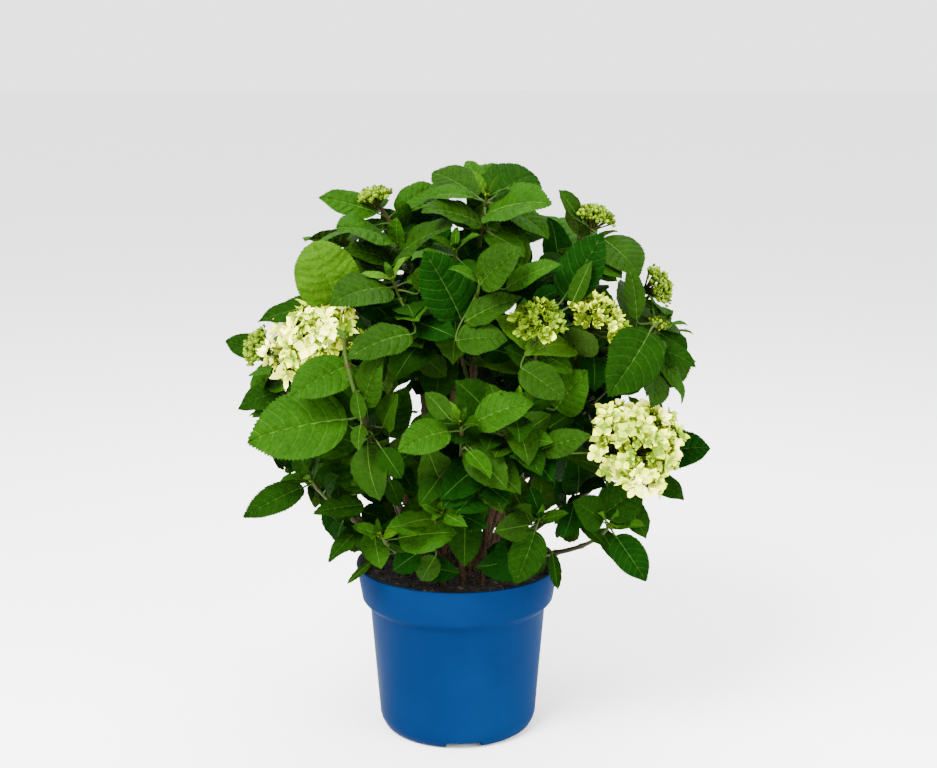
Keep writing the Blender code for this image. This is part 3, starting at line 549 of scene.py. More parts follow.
# Leaves whose place shows: azimuth, lift and reach of the blade's base, then of its tip, its width over
# its length, and its tint
LAID_LEAVES = {
    "top": [
        (284, 70, 0.97, 228, 80, 1.01, 0.62, MIDDLE),
        (292, 78, 0.95, 180, 89, 1.07, 0.38, BRIGHT),
        (288, 71, 0.97, 0, 73, 1.03, 0.70, DEEP),
        (283, 69, 0.95, 300, 55, 1.15, 0.66, BRIGHT),
        (280, 70, 0.91, 247, 62, 1.04, 0.60, MIDDLE),
    ],
    "upper_left": [
        (194, 66, 0.93, 192, 55, 1.10, 0.55, BRIGHT),
        (196, 67, 0.92, 180, 80, 0.95, 0.55, BRIGHT),
        (201, 65, 0.86, 216, 51, 1.09, 0.62, BRIGHT),
        (209, 63, 0.79, 262, 64, 0.95, 0.60, MIDDLE),
    ],
    "upper_right": [
        (350, 58, 0.95, 341, 66, 1.02, 0.62, MIDDLE),
        (347, 53, 0.98, 336, 40, 1.03, 0.80, MIDDLE),
    ],
    "front_high": [(219, 40, 0.92, 220, 44, 1.16, 0.96, LIGHT), (267, 43, 0.79, 253, 51, 1.01, 0.70, DARK)],
    "front_right": [(300, 39, 0.99, 312, 45, 1.19, 0.60, DARK)],
    "right": [(325, 28, 1.04, 306, 16, 1.03, 0.62, DEEP), (335, 26, 0.93, 338, 18, 1.10, 0.62, DEEP)],
    "left": [
        (210, 39, 0.90, 204, 27, 1.09, 0.50, DEEP),
        (186, 21, 0.95, 182, 19, 1.14, 0.62, DEEP),
        (196, 15, 0.84, 192, 9, 1.05, 0.62, DEEP),
    ],
    "front_left": [(236, 13, 0.90, 220, 7, 1.20, 0.70, BRIGHT), (235, 25, 0.92, 230, 15, 1.14, 0.68, BRIGHT)],
    "low_left": [(221, -5, 0.88, 218, -8, 1.16, 0.45, DEEP), (231, -12, 0.72, 226, -10, 0.94, 0.45, DEEP)],
    "low_right": [(342, -1, 0.86, 346, 1, 1.09, 0.75, DARK), (340, -7, 0.82, 339, -10, 1.02, 0.60, DEEP)],
    "skirt_left": [(226, -21, 0.70, 227, -22, 0.93, 0.40, DEEP)],
    "skirt_right": [
        (319, -17, 0.86, 318, -22, 1.07, 0.62, DARK),
        (294, -16, 0.70, 287, -30, 0.78, 0.62, DEEP),
        (326, -22, 0.74, 326, -27, 0.88, 0.45, DEEP),
    ],
}
# More of them, which only the finished plant carries
MORE_LEAVES = {
    "top": [(301, 72, 0.83, 339, 65, 0.89, 0.60, DEEP)],
    "upper_left": [(209, 62, 0.79, 207, 52, 0.97, 0.50, MIDDLE)],
    "front_high": [
        (239, 51, 0.83, 235, 36, 1.07, 0.62, MIDDLE),
        (274, 43, 1.00, 285, 44, 1.16, 0.80, MIDDLE),
        (283, 44, 0.95, 296, 42, 1.13, 0.42, BRIGHT),
        (269, 39, 0.86, 287, 41, 0.98, 0.50, MIDDLE),
        (266, 34, 0.86, 282, 33, 0.92, 0.70, MIDDLE),
        (252, 34, 0.90, 241, 24, 1.11, 0.50, MIDDLE),
    ],
    "front_left": [
        (243, 15, 0.88, 249, 25, 0.99, 0.60, MIDDLE),
        (237, 9, 0.62, 243, 27, 0.62, 0.66, DEEP),
    ],
    "front_right": [
        (301, 37, 1.02, 305, 41, 1.16, 0.40, MIDDLE),
        (308, 18, 0.63, 308, 25, 0.87, 0.70, BRIGHT),
        (284, 25, 0.96, 293, 17, 1.01, 0.70, MIDDLE),
        (298, 46, 0.80, 304, 43, 0.95, 0.60, DARK),
    ],
    "right": [(328, 32, 0.98, 326, 42, 1.08, 0.38, MIDDLE), (345, 27, 0.96, 347, 20, 1.04, 0.80, DEEP)],
    "low_left": [(239, -5, 0.68, 218, 6, 0.78, 0.75, DEEP)],
    "low_right": [(290, 7, 0.86, 299, 10, 1.03, 0.50, MIDDLE), (326, -11, 0.82, 325, -17, 0.97, 0.70, DEEP)],
    "skirt_left": [
        (228, -24, 0.66, 233, -33, 0.75, 0.80, BRIGHT),
        (227, -33, 0.72, 223, -33, 0.86, 0.22, MIDDLE),
    ],
    "skirt_right": [
        (310, -12, 0.71, 304, -20, 0.78, 0.75, DARK),
        (309, -32, 0.68, 307, -38, 0.80, 0.34, DEEP),
        (317, -14, 0.80, 329, -6, 0.87, 0.80, DEEP),
        (318, -16, 0.82, 306, -9, 0.78, 0.75, DEEP),
        (294, -7, 0.64, 296, -15, 0.72, 0.50, DARK),
        (314, -18, 0.71, 318, -22, 0.86, 0.35, DEEP),
    ],
}
# One more side shoot: azimuth, lift and reach of its tip, kind, turn, and its share of the stem's length
MORE_SHOOTS = {"front_high": (274, 46, 0.96, "young", 40, 0.45)}
LOWEST_TIP = 0.182
SEED = 14


def heading(azimuth, lift):
    turn, rise = math.radians(azimuth), math.radians(lift)
    return Vector((math.cos(rise) * math.cos(turn), math.cos(rise) * math.sin(turn), math.sin(rise)))


def crown_point(azimuth, lift, reach):
    """A point on the crown's dome, or that share of the way out to it."""
    out = heading(azimuth, lift) * reach
    return CROWN_MIDDLE + Vector((out.x * CROWN_HALF_WIDTH, out.y * CROWN_HALF_DEPTH, out.z * CROWN_RISE))


def share_of_dome(place):
    """How far out to the crown's dome a place lies."""
    out = place - CROWN_MIDDLE
    return Vector((out.x / CROWN_HALF_WIDTH, out.y / CROWN_HALF_DEPTH, out.z / CROWN_RISE)).length


def curve(start, start_pull, end_pull, end, steps):
    """Points along a cubic curve that leaves start towards start_pull and reaches end from end_pull."""
    points = []
    for i in range(steps + 1):
        t = i / steps
        u = 1 - t
        points.append(start * u**3 + start_pull * (3 * u * u * t) + end_pull * (3 * u * t * t) + end * t**3)
    return points


def pull_through(start, start_pull, end, place, t):
    """The end_pull that makes the curve pass through place at share t."""
    u = 1 - t
    return (place - start * u**3 - start_pull * (3 * u * u * t) - end * t**3) / (3 * u * t * t)


def length_of(points):
    return sum((b - a).length for a, b in zip(points, points[1:]))


def along(points, distance):
    """The place and direction that far along a run of points."""
    for a, b in zip(points, points[1:]):
        step = (b - a).length
        if distance <= step:
            return a.lerp(b, distance / step), (b - a).normalized()
        distance -= step
    return points[-1].copy(), (points[-1] - points[-2]).normalized()


def nearest_on(points, place):
    """The nearest point of a run of points, how far off it is, and the run's direction there."""
    best = None
    for a, b in zip(points, points[1:]):
        span = b - a
        share = min(max((place - a).dot(span) / span.length_squared, 0.0), 1.0)
        point = a + span * share
        off = (place - point).length
        if best is None or off < best[1]:
            best = (point, off, span.normalized())
    return best


def square_to(direction, wanted):
    """wanted, with its share along direction taken out."""
    left = wanted - direction * wanted.dot(direction)
    return left.normalized() if left.length > 1e-6 else direction.orthogonal().normalized()


def sides_of(direction):
    """Two directions square to a shoot, from which the turns of its leaf pairs are measured."""
    right = square_to(direction, Vector((1, 0, 0)) if abs(direction.x) < 0.92 else UP)
    return right, direction.cross(right)


def turned_out(sides, angle):
    return sides[0] * math.cos(angle) + sides[1] * math.sin(angle)


def cane_feet():
    """Each cane's foot on the soil: the steep canes stand in an inner ring and the others in an outer one."""
    feet = {}
    leaders = {name: shoots[0] for name, shoots in MASSES.items()}
    for steep, radius in ((True, INNER_FEET_RADIUS), (False, OUTER_FEET_RADIUS)):
        ring = [n for n, shoot in leaders.items() if (shoot[1] > INNER_FEET_LIFT) == steep]
        ring.sort(key=lambda n: leaders[n][0])
        offset = sum(leaders[n][0] - 360 * k / len(ring) for k, n in enumerate(ring)) / len(ring)
        for k, name in enumerate(ring):
            feet[name] = heading(offset + 360 * k / len(ring), 0) * radius + UP * (SOIL_TOP + GAP)
    return feet


def cane_path(name, foot):
    """A cane from its foot on the soil up and out to its flower head."""
    azimuth, lift, reach, _, _ = MASSES[name][0]
    tip = crown_point(azimuth, lift, reach)
    steep = max(0.0, math.sin(math.radians(lift)))
    span = (tip - foot).length
    out = heading(azimuth, 0)
    start_pull = foot + (UP * (0.55 + 0.2 * steep) + out * 0.25) * span * 0.42
    if name in CANE_BENDS:
        end_pull = pull_through(foot, start_pull, tip, crown_point(*CANE_BENDS[name]), 0.6)
    else:
        end_pull = tip - (UP * 0.62 + out * 0.45).normalized() * span * 0.36
    return curve(foot, start_pull, end_pull, tip, CANE_STEPS)


def shoot_path(stem, tip, start_share):
    """A side shoot that forks from the stem and turns out to its own flower head."""
    start, direction = along(stem, length_of(stem) * start_share)
    span = (tip - start).length
    out = (tip - CROWN_MIDDLE).normalized()
    start_pull = start + direction * span * 0.28
    end_pull = tip - (out * 0.6 + UP * 0.6).normalized() * span * 0.36
    return curve(start, start_pull, end_pull, tip, SHOOT_STEPS)


def spaces_of(canes):
    """A search tree of places and their masses: a mass's space is what is nearer to its own places."""
    places = []
    for name, path in canes.items():
        places += [(along(path, length_of(path) * share)[0], name) for share in LEAFY_SHARES]
        for azimuth, lift, reach, _, _ in MASSES[name][1:]:
            places.append((crown_point(azimuth, lift, reach * 0.96), name))
            places.append((crown_point(azimuth, lift, reach * 0.66), name))
        for row in LAID_LEAVES.get(name, []):
            base, tip = crown_point(*row[:3]), crown_point(*row[3:6])
            places += [(base.lerp(tip, share), name) for share in (0.25, 0.6, 0.95)]
    tree = KDTree(len(places))
    for k, (place, _) in enumerate(places):
        tree.insert(place, k)
    tree.balance()
    return tree, [owner for _, owner in places]


def keeps_to(name, spaces, points):
    tree, owners = spaces
    return all(owners[tree.find(p)[1]] == name for p in points)


def in_crown(points):
    """Whether all the points are in the crown's dome, clear of the pot and above its skirt's slope."""
    for p in points:
        off_rim = math.hypot(p.x, p.y) - RIM_RADIUS
        lowest = POT_HEIGHT + 0.004 if off_rim < 0.006 else LOWEST_TIP + SKIRT_SLOPE * off_rim
        if p.z < lowest or share_of_dome(p) > GREATEST_REACH:
            return False
    return True


def split_cane(name, path, spaces):
    """The bare cane, and the stem that goes on from it inside its own mass."""
    total = length_of(path)
    for inside in range(2, len(path) - 2):
        if length_of(path[: inside + 1]) > BARE_SHARE * total and keeps_to(name, spaces, path[inside:]):
            break
    direction = (path[inside + 1] - path[inside - 1]).normalized()
    return path[: inside + 1], [path[inside] + direction * GAP] + path[inside + 1 :]


def grow_mass(name, path, spaces):
    """The mass's bare cane, and its stem and side shoots, each a path, a head's kind and a leaf turn."""
    cane, stem = split_cane(name, path, spaces)
    paths = []
    for k, (azimuth, lift, reach, kind, turn) in enumerate(MASSES[name]):
        start_share = SIDE_SHOOT_START + SIDE_SHOOT_SPACING * (k - 1)
        path = shoot_path(stem, crown_point(azimuth, lift, reach), start_share) if k else stem
        paths.append((path, kind, turn))
    return cane, paths


def blade_share(t):
    """Half the blade's width over its greatest, at share t of its length: oval, with a drawn-out tip."""
    widest = 0.40
    return (t / widest) ** 0.55 * ((1 - t) / (1 - widest)) ** 0.83 if 0 < t < 1 else 0.0


def midrib(leaf, t):
    """A point of the midrib, which curls away from the leaf's face, and the face's direction there."""
    _, base, ahead, face, length, _, curl, _, _ = leaf
    turned = curl * t
    point = base + (ahead * math.sin(turned) - face * (1 - math.cos(turned))) * length / curl
    return point, face * math.cos(turned) + ahead * math.sin(turned)


def leaf_rings(leaf, spare=0.0):
    """The leaf's rings of four points from its stalk's root on, and its tip. Spare fattens it."""
    root, base, ahead, face, length, width_share, _, fold, stations = leaf
    side = face.cross(ahead)
    rings = []
    petiole = (base - root).normalized()
    for centre, way, radius in (
        (root, petiole, PETIOLE_ROOT_RADIUS),
        (base, (petiole + ahead).normalized(), PETIOLE_TIP_RADIUS),
    ):
        across = square_to(way, side)
        over = way.cross(across)
        rings.append([centre + d * (radius + spare) for d in (across, over, -across, -over)])
    thick = length * LEAF_THICKNESS_SHARE / 2 + spare
    for t in stations:
        middle, normal = midrib(leaf, t)
        half = length * width_share / 2 * blade_share(t) + spare
        out = side * math.cos(fold) * half
        lift = normal * math.sin(fold) * half
        over = normal * thick
        rings.append([middle + out + lift, middle + over, middle - out + lift, middle - over])
    return rings, midrib(leaf, 1.0)[0]


def skin_faces(rings):
    """Faces between equal rings whose points are numbered in order, and a fan to the point after the last."""
    around = len(rings[0])
    faces = []
    for r in range(len(rings) - 1):
        for i in range(around):
            a, b = r * around + i, r * around + (i + 1) % around
            faces.append((a, b, b + around, a + around))
    last = (len(rings) - 1) * around
    return faces + [(last + i, last + (i + 1) % around, last + around) for i in range(around)]


def touch_tree(rings, tip):
    return BVHTree.FromPolygons([p for ring in rings for p in ring] + [tip], skin_faces(rings))


def leaf_trees(leaf, spare=0.0):
    """Trees for touch tests: the blade, and the blade with its petiole from a little way off its stem."""
    rings, tip = leaf_rings(leaf, spare)
    clear_root = [a.lerp(b, 0.35) for a, b in zip(rings[0], rings[1])]
    return touch_tree(rings[1:], tip), touch_tree([clear_root] + rings[1:], tip)


def limb_tree(points, foot_radius, tip_radius, sides=6):
    """A tree for touch tests round a limb."""
    radii = np.interp(np.arange(len(points)), (0, len(points) - 1), (foot_radius, tip_radius))
    skin, faces = tube(points, radii, sides)
    return BVHTree.FromPolygons([Vector(p) for p in skin], faces.tolist())


def head_axis(path):
    """The way a flower head faces: on from its stem, nodding out from the crown."""
    return ((path[-1] - path[-2]).normalized() + (path[-1] - CROWN_MIDDLE).normalized() * 0.8).normalized()


def head_tree(path, kind):
    """A tree for touch tests round a flower head: a ball, flattened along its axis."""
    radius, flatness, _ = HEADS[kind]
    axis = head_axis(path)
    line = [path[-1] + axis * radius * 1.1 * flatness * share for share in (-1, -0.7, 0, 0.7, 1)]
    skin, faces = tube(line, radius * 1.1 * np.array((0.15, 0.7, 1, 0.7, 0.15)), 10)
    return BVHTree.FromPolygons([Vector(p) for p in skin], faces.tolist())


def leaf_between(base, tip, width_share, paths, dice):
    """A leaf laid between two places, its stalk rooted in its mass's nearest stem, and that stem's way."""
    roots = [nearest_on([along(path, BARE_FOOT)[0]] + path[2:], base) for path, _, _ in paths]
    root, _, stem_way = min(roots, key=lambda near: near[1])
    chord = tip - base
    outward = (base.lerp(tip, 0.5) - CROWN_MIDDLE).normalized()
    face = square_to(chord.normalized(), outward * 0.45 + FRONT_LIGHT)
    curl = dice.uniform(0.35, 0.7)
    ahead = chord.normalized() * math.cos(curl / 2) + face * math.sin(curl / 2)
    length = chord.length * curl / (2 * math.sin(curl / 2))
    face = square_to(ahead, face)
    if (base - root).length < SHORTEST_PETIOLE:
        base = root + ahead * SHORTEST_PETIOLE
    fold = math.radians(dice.uniform(6, 16))
    return (root, base, ahead, face, length, width_share, curl, fold, LAID_STATIONS), stem_way


def laid_leaf(row, paths, dice):
    leaf, stem_way = leaf_between(crown_point(*row[:3]), crown_point(*row[3:6]), row[6], paths, dice)
    return leaf, row[7], stem_way


def inner_leaf(paths, sizes, dice):
    """A leaf somewhere near one of a mass's stems, held out from the crown's middle."""
    path = paths[dice.randrange(len(paths))][0]
    near, _ = along(path, length_of(path) * dice.uniform(0.25, 0.98))
    off = Vector([dice.uniform(-1, 1) for _ in range(3)]).normalized()
    base = near + off * dice.uniform(0.015, LONGEST_PETIOLE)
    stray = Vector([dice.uniform(-1, 1) for _ in range(3)])
    ahead = ((base - CROWN_MIDDLE).normalized() * 0.7 + stray - UP * 0.25).normalized()
    tip = base + ahead * LEAF_LENGTH * dice.uniform(*sizes)
    return leaf_between(base, tip, dice.uniform(0.6, 0.72), paths, dice)


def leaf_choices(node, stem_direction, spread, order, dice):
    """The leaf as it grows, then swung, lifted or smaller, for the place where that won't fit."""
    order = min(order, len(PAIR_LENGTHS) - 1)
    length = LEAF_LENGTH * PAIR_LENGTHS[order] * dice.uniform(0.86, 1.08)
    pitch = PAIR_PITCHES[order] + dice.uniform(-8, 8)
    droop = PAIR_DROOPS[order] + dice.uniform(-0.06, 0.08)
    curl = dice.uniform(0.45, 1.0)
    fold = math.radians(dice.uniform(6, 22))
    sideways = stem_direction.cross(spread)
    outward = (node - CROWN_MIDDLE).normalized()
    for size in (1.0, 0.84, 0.68):
        for swing in (0, 22, -22, 44, -44):
            for lift in (0, -24, 18):
                swung = spread * math.cos(math.radians(swing)) + sideways * math.sin(math.radians(swing))
                angle = math.radians(pitch + lift)
                ahead = (stem_direction * math.cos(angle) + swung * math.sin(angle) - UP * droop).normalized()
                face = square_to(ahead, stem_direction * 0.35 + outward * 0.8 + UP * 0.5)
                base = node + ahead * length * size * PETIOLE_SHARE
                yield (node, base, ahead, face, length * size, LEAF_WIDTH_SHARE, curl, fold, GROWN_STATIONS)


def fits(name, leaf, spaces, limbs, placed):
    """Whether a leaf keeps to its mass's space and touches no limb, no head and no other leaf."""
    rings, tip = leaf_rings(leaf)
    points = [p for ring in rings[1:] for p in ring] + [tip]
    points += [leaf[1].lerp(leaf[0], 0.5), (rings[-1][0] + tip) / 2, (rings[-1][2] + tip) / 2]
    if not (keeps_to(name, spaces, points) and in_crown(points)):
        return False
    blade, whole = leaf_trees(leaf)
    if any(whole.overlap(limb) for limb in limbs):
        return False
    for owner, other_blade, other_whole in placed:
        if (blade.overlap(other_blade) if owner == name else whole.overlap(other_whole)):
            return False
    return True


def grow_leaves(name, path, kind, turn, spaces, limbs, placed, dice, tint_dice):
    """The opposite pairs of one shoot, from under its head to its foot, and the places of their nodes."""
    leaves, nodes = [], []
    total, gap, order = length_of(path), FIRST_GAP, 0
    run = HEADS[kind][2]
    shift = tint_dice.choice((-1, 0, 0, 1))
    while run < total - BARE_FOOT:
        node, direction = along(path, total - run)
        sides = sides_of(direction)
        tint = PAIR_TINTS[min(order, 5)] + shift + (tint_dice.random() < 0.25)
        tint = min(max(tint, LIGHT), DARK)
        spreads = []
        for half in (0, 1):
            angle = math.radians(turn + 90 * order + 180 * half + dice.uniform(-14, 14))
            spread = turned_out(sides, angle)
            spreads.append(spread)
            for leaf in leaf_choices(node, direction, spread, order, dice):
                if fits(name, leaf, spaces, limbs, placed):
                    placed.append((name, *leaf_trees(leaf, CLEARANCE)))
                    leaves.append((leaf, tint, direction))
                    break
        nodes.append((total - run, node, direction, spreads, order))
        run += gap
        gap *= GAP_GROWTH
        order += 1
    return leaves, nodes


canes = {name: cane_path(name, foot) for name, foot in cane_feet().items()}
spaces = spaces_of(canes)
grown = {name: grow_mass(name, canes[name], spaces) for name in MASSES}
for name, (azimuth, lift, reach, kind, turn, start_share) in MORE_SHOOTS.items():
    _, paths = grown[name]
    paths.append((shoot_path(paths[0][0], crown_point(azimuth, lift, reach), start_share), kind, turn))
joint_radius = CANE_FOOT_RADIUS + (CANE_TIP_RADIUS - CANE_FOOT_RADIUS) * BARE_SHARE
limbs = {}
for name, (cane, paths) in grown.items():
    limbs[name] = [limb_tree(cane, CANE_FOOT_RADIUS + CLEARANCE, joint_radius + CLEARANCE)]
    limbs[name] += [head_tree(path, kind) for path, kind, _ in paths]
stems = {name: [limb_tree(way, 0.004, 0.003, 4) for way, _, _ in paths] for name, (_, paths) in grown.items()}
placed, leaves, nodes = [], {}, {}
for name, (_, paths) in grown.items():
    dice = random.Random(SEED)
    rows = LAID_LEAVES.get(name, []) + MORE_LEAVES.get(name, [])
    leaves[name] = [laid_leaf(row, paths, dice) for row in rows]
    placed += [(name, *leaf_trees(leaf, CLEARANCE)) for leaf, _, _ in leaves[name]]
laid_counts = {name: len(rows) for name, rows in leaves.items()}
everyones = [tree for trees in limbs.values() for tree in trees]


def obstacles_to(name):
    """The limbs and heads of all, and the stems of the other masses."""
    return everyones + [tree for other, trees in stems.items() if other != name for tree in trees]


for index, (name, (_, paths)) in enumerate(grown.items()):
    dice, tint_dice = random.Random(SEED + index), random.Random(TINT_SEED + index)
    obstacles = obstacles_to(name)
    for number, (path, kind, turn) in enumerate(paths):
        if number >= len(MASSES[name]):
            nodes[name, number] = []
            continue
        more, nodes[name, number] = grow_leaves(
            name, path, kind, turn, spaces, obstacles, placed, dice, tint_dice
        )
        leaves[name] += more

# Leaves of the inner shoots, which fill the crown behind its outer ones
for index, (name, (_, paths)) in enumerate(grown.items()):
    dice, tint_dice = random.Random(INNER_SEED + index), random.Random(INNER_TINT_SEED + index)
    obstacles = obstacles_to(name)
    own = paths[: len(MASSES[name])]
    for attempt in range(INNER_TRIES + SMALLER_TRIES):
        leaf, stem_way = inner_leaf(own, (0.5, 0.95) if attempt < INNER_TRIES else (0.3, 0.55), dice)
        stalk = leaf[1] - leaf[0]
        if stalk.length > LONGEST_PETIOLE or leaf[2].dot(stalk.normalized()) < 0.1:
            continue
        if leaf[1].y < 0 and share_of_dome(leaf[1] + leaf[2] * leaf[4]) > INNER_FRONT_REACH:
            continue
        if fits(name, leaf, spaces, obstacles, placed):
            placed.append((name, *leaf_trees(leaf, CLEARANCE)))
            # The deeper a leaf lies in the crown, the darker its tint: painted shade
            depth = share_of_dome(leaf[1])
            tints = next(tints for reach, tints in INNER_TINTS if depth < reach)
            leaves[name].append((leaf, tint_dice.choice(tints), stem_way))

# Finer growth: the buds in the axils have made short twigs with a pair of small leaves
AXIL_CHANCE = 0.62
AXIL_WIDTH_SHARE = 0.58
AXIL_FOLD = math.radians(18)
AXIL_STATIONS = (0.14, 0.40, 0.72)
AXIL_SEED = 500
axil_twigs = []
for index, (name, (_, paths)) in enumerate(grown.items()):
    dice = random.Random(AXIL_SEED + index)
    obstacles = everyones + [tree for trees in stems.values() for tree in trees]
    for number in range(len(paths)):
        for _, node, direction, spreads, order in nodes[name, number]:
            for spread in spreads:
                reach, size = dice.uniform(0.010, 0.034), dice.uniform(0.030, 0.058)
                turn, wanted = dice.uniform(0, math.pi), dice.random()
                tint = dice.choice((BRIGHT, BRIGHT, MIDDLE, MIDDLE))
                if order == 0 or wanted > AXIL_CHANCE:
                    continue
                way = (direction * 0.75 + spread * 0.65 + UP * 0.15).normalized()
                tip = node + way * reach
                kept = []
                for half in (0, 1):
                    out = turned_out(sides_of(way), turn + math.pi * half)
                    ahead = (way * 0.62 + out * 0.78 - UP * 0.06).normalized()
                    face = square_to(ahead, way * 0.8 + UP * 0.5)
                    base = tip + ahead * size * 0.17
                    curl = dice.uniform(0.3, 0.9)
                    leaf = (tip, base, ahead, face, size, AXIL_WIDTH_SHARE, curl, AXIL_FOLD, AXIL_STATIONS)
                    if fits(name, leaf, spaces, obstacles, placed):
                        placed.append((name, *leaf_trees(leaf, CLEARANCE)))
                        kept.append((leaf, tint, way))
                if kept:
                    leaves[name] += kept
                    axil_twigs.append((node, tip, direction))


# ---- Canes ----
# The bare lower canes are last year's wood, grey-brown, with fine lengthwise ridges in the bark, corky
# spots, and swollen rings where the old leaf pairs sat. They stand in the soil.

CANE_SIDES = 18
RING_SPACING = 0.0016
BARK_SEED = 40


def smooth_run(points, spacing):
    """The same run of points as an even run on a smooth curve through them."""
    line = np.array([tuple(p) for p in points])
    reached = np.concatenate(([0], np.cumsum(np.linalg.norm(np.diff(line, axis=0), axis=1))))
    wanted = np.linspace(0, reached[-1], max(3, round(reached[-1] / spacing) + 1))
    slopes = np.gradient(line, reached, axis=0)
    k = np.clip(np.searchsorted(reached, wanted, side="right") - 1, 0, len(reached) - 2)
    step = (reached[k + 1] - reached[k])[:, None]
    t = (wanted - reached[k])[:, None] / step
    ends = (2 * t**3 - 3 * t**2 + 1) * line[k] + (3 * t**2 - 2 * t**3) * line[k + 1]
    turns = (t**3 - 2 * t**2 + t) * slopes[k] + (t**3 - t**2) * slopes[k + 1]
    return ends + step * turns, wanted


cane_wood = Heap()
for index, (name, (cane, _)) in enumerate(grown.items()):
    dice = random.Random(BARK_SEED + index)
    rooted = [cane[0] - UP * 0.004] + cane
    run, reached = smooth_run(rooted, RING_SPACING)
    radii = np.interp(reached, (0, reached[-1]), (CANE_FOOT_RADIUS, joint_radius))
    knot = dice.uniform(0.012, 0.028)
    swell = np.zeros(len(reached))
    while knot < reached[-1]:
        swell += 0.26 * np.exp(-(((reached - knot) / 0.0026) ** 2))
        knot += dice.uniform(0.030, 0.046)
    rough = np.empty((len(run), CANE_SIDES))
    for k, far in enumerate(reached):
        for i in range(CANE_SIDES):
            turn = 2 * math.pi * i / CANE_SIDES
            x, y = math.cos(turn), math.sin(turn)
            ridge = noise.noise(Vector((x * 2.6, y * 2.6, far * 40 + index * 9)))
            flake = noise.noise(Vector((x * 5, y * 5, far * 190 + index * 5)))
            rough[k, i] = radii[k] * (0.97 + swell[k] + 0.10 * ridge + 0.06 * flake)
    skin, faces = tube(run, rough, CANE_SIDES)
    cane_wood.add(skin, faces, 0)
bark = Finish("bark", roughness=0.85)
grain = bark.noise(260, 3, (1, 1, 0.14))
spots = bark.share(bark.noise(520, 1), 0.60, 0.66)
flecks = spots * 0.5
worn = bark.mix(bark.share(grain, 0.35, 0.68), (0.0156, 0.0081, 0.0037), (0.0563, 0.0356, 0.0178))
bark.colour(bark.mix(flecks, worn, (0.0904, 0.0659, 0.0385)))
bark.relief(grain * 0.8 + spots * 0.5, 0.0006, 0.8)
bark.shine(0.12)
bark_piece = cane_wood.join("cane_bark", [bark], crease=80)
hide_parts(*("cane_" + name for name in MASSES))


# ---- Stems, side shoots and leaf stalks ----
# This year's growth: round stems that go from brown through olive to green as they climb, swollen and
# reddish at each leaf pair, and the short stalks that the leaves stand on.

WOODY, OLIVE, GREEN, NODE = range(4)
STEM_SIDES = 9
STEM_SPACING = 0.0024
KNOT_BREADTH = 0.0030
RED_TIP = 0.022
STALK_TAPER = (1.9, 1.55, 1.25, 1.12, 1.05, 1.0, 0.98, 0.95, 0.5)
WOODY_UNTIL = {"skirt_right": 0.75, "low_right": 0.45, "skirt_left": 0.45}
green_wood = Heap()


def add_stem(points, foot_radius, tip_radius, knots, woody_until, olive_until, red_tip=False):
    """One limb, swollen at its knots, coloured by shares of its length, and reddish under buds."""
    run, reached = smooth_run(points, STEM_SPACING)
    total = reached[-1]
    radii = np.interp(reached, (0, total), (foot_radius, tip_radius))
    near_knot = np.zeros(len(reached))
    for knot in knots:
        near_knot = np.maximum(near_knot, np.exp(-(((reached - knot) / KNOT_BREADTH) ** 2)))
    skin, faces = tube(run, radii * (1 + 0.34 * near_knot), STEM_SIDES)
    ring = np.minimum(faces.min(axis=1) // STEM_SIDES, len(run) - 1)
    share = reached / total
    slots = np.where(share < woody_until, WOODY, np.where(share < olive_until, OLIVE, GREEN))
    reddish = (near_knot > 0.6) & (slots != WOODY) | (red_tip & (reached > total - RED_TIP))
    slots = np.where(reddish, NODE, slots)
    green_wood.add(skin, faces, slots[ring])


def shorten(points, by):
    """A run of points with the last stretch of it left off."""
    total = length_of(points) - by
    kept, run = [points[0]], 0.0
    for a, b in zip(points, points[1:]):
        run += (b - a).length
        if run >= total - 0.002:
            break
        kept.append(b)
    return kept + [along(points, total)[0]]


def hub_of(path, kind):
    """How far below a head's middle its rays fork from the stem."""
    radius, flatness, _ = HEADS[kind]
    return radius * flatness * (0.45 if kind == "young" else 0.92)


for name, (_, paths) in grown.items():
    for number, (path, kind, _) in enumerate(paths):
        first = number == 0
        knots = [reach for reach, *_ in nodes[name, number]]
        foot, tip = (joint_radius, CANE_TIP_RADIUS) if first else (SHOOT_FOOT_RADIUS, SHOOT_TIP_RADIUS)
        way = shorten(path, hub_of(path, kind))
        if first:
            way = [way[0] - (way[1] - way[0]).normalized() * 0.003] + way
        woody_until = WOODY_UNTIL.get(name, 0.24) if first else 0.0
        olive_until = max(0.62 if first else 0.45, woody_until)
        add_stem(way, foot, tip, knots, woody_until, olive_until, kind == "buds")
for node, tip, direction in axil_twigs:
    middle = node.lerp(tip, 0.5) + direction * (tip - node).length * 0.08
    add_stem([node, middle, tip], 0.0014, 0.0010, [], 0.0, 0.3)


def add_stalk(leaf, stem_way):
    """A leaf's stalk: it leaves the node steeply, bends out, and runs into the midrib."""
    root, base, ahead, face, length, _, _, _, _ = leaf
    span = (base - root).length
    size = min(length / 0.1, 1.0)
    away = (base - root).normalized()
    start_pull = root + (away * 0.75 + stem_way * 0.35).normalized() * span * 0.35
    end_way = ahead if ahead.dot(away) > 0.3 else (ahead * 0.5 + away).normalized()
    end_pull = base - end_way * span * 0.3
    line = curve(root, start_pull, end_pull, base, 7)
    line.append(base + ahead * length * 0.03 - face * length * 0.004)
    radii = np.array(STALK_TAPER) * 0.00125 * (0.45 + 0.55 * size)
    skin, faces = tube(line, radii, 6)
    green_wood.add(skin, faces, GREEN)


for rows in leaves.values():
    for leaf, _, stem_way in rows:
        add_stalk(leaf, stem_way)


def stem_finish(name, shade, lit):
    stem = Finish(name, roughness=0.55)
    streak = stem.noise(420, 2, (1, 1, 0.2))
    stem.colour(stem.mix(streak, shade, lit))
    return stem.relief(streak, 0.0003, 0.5).shine(0.08)


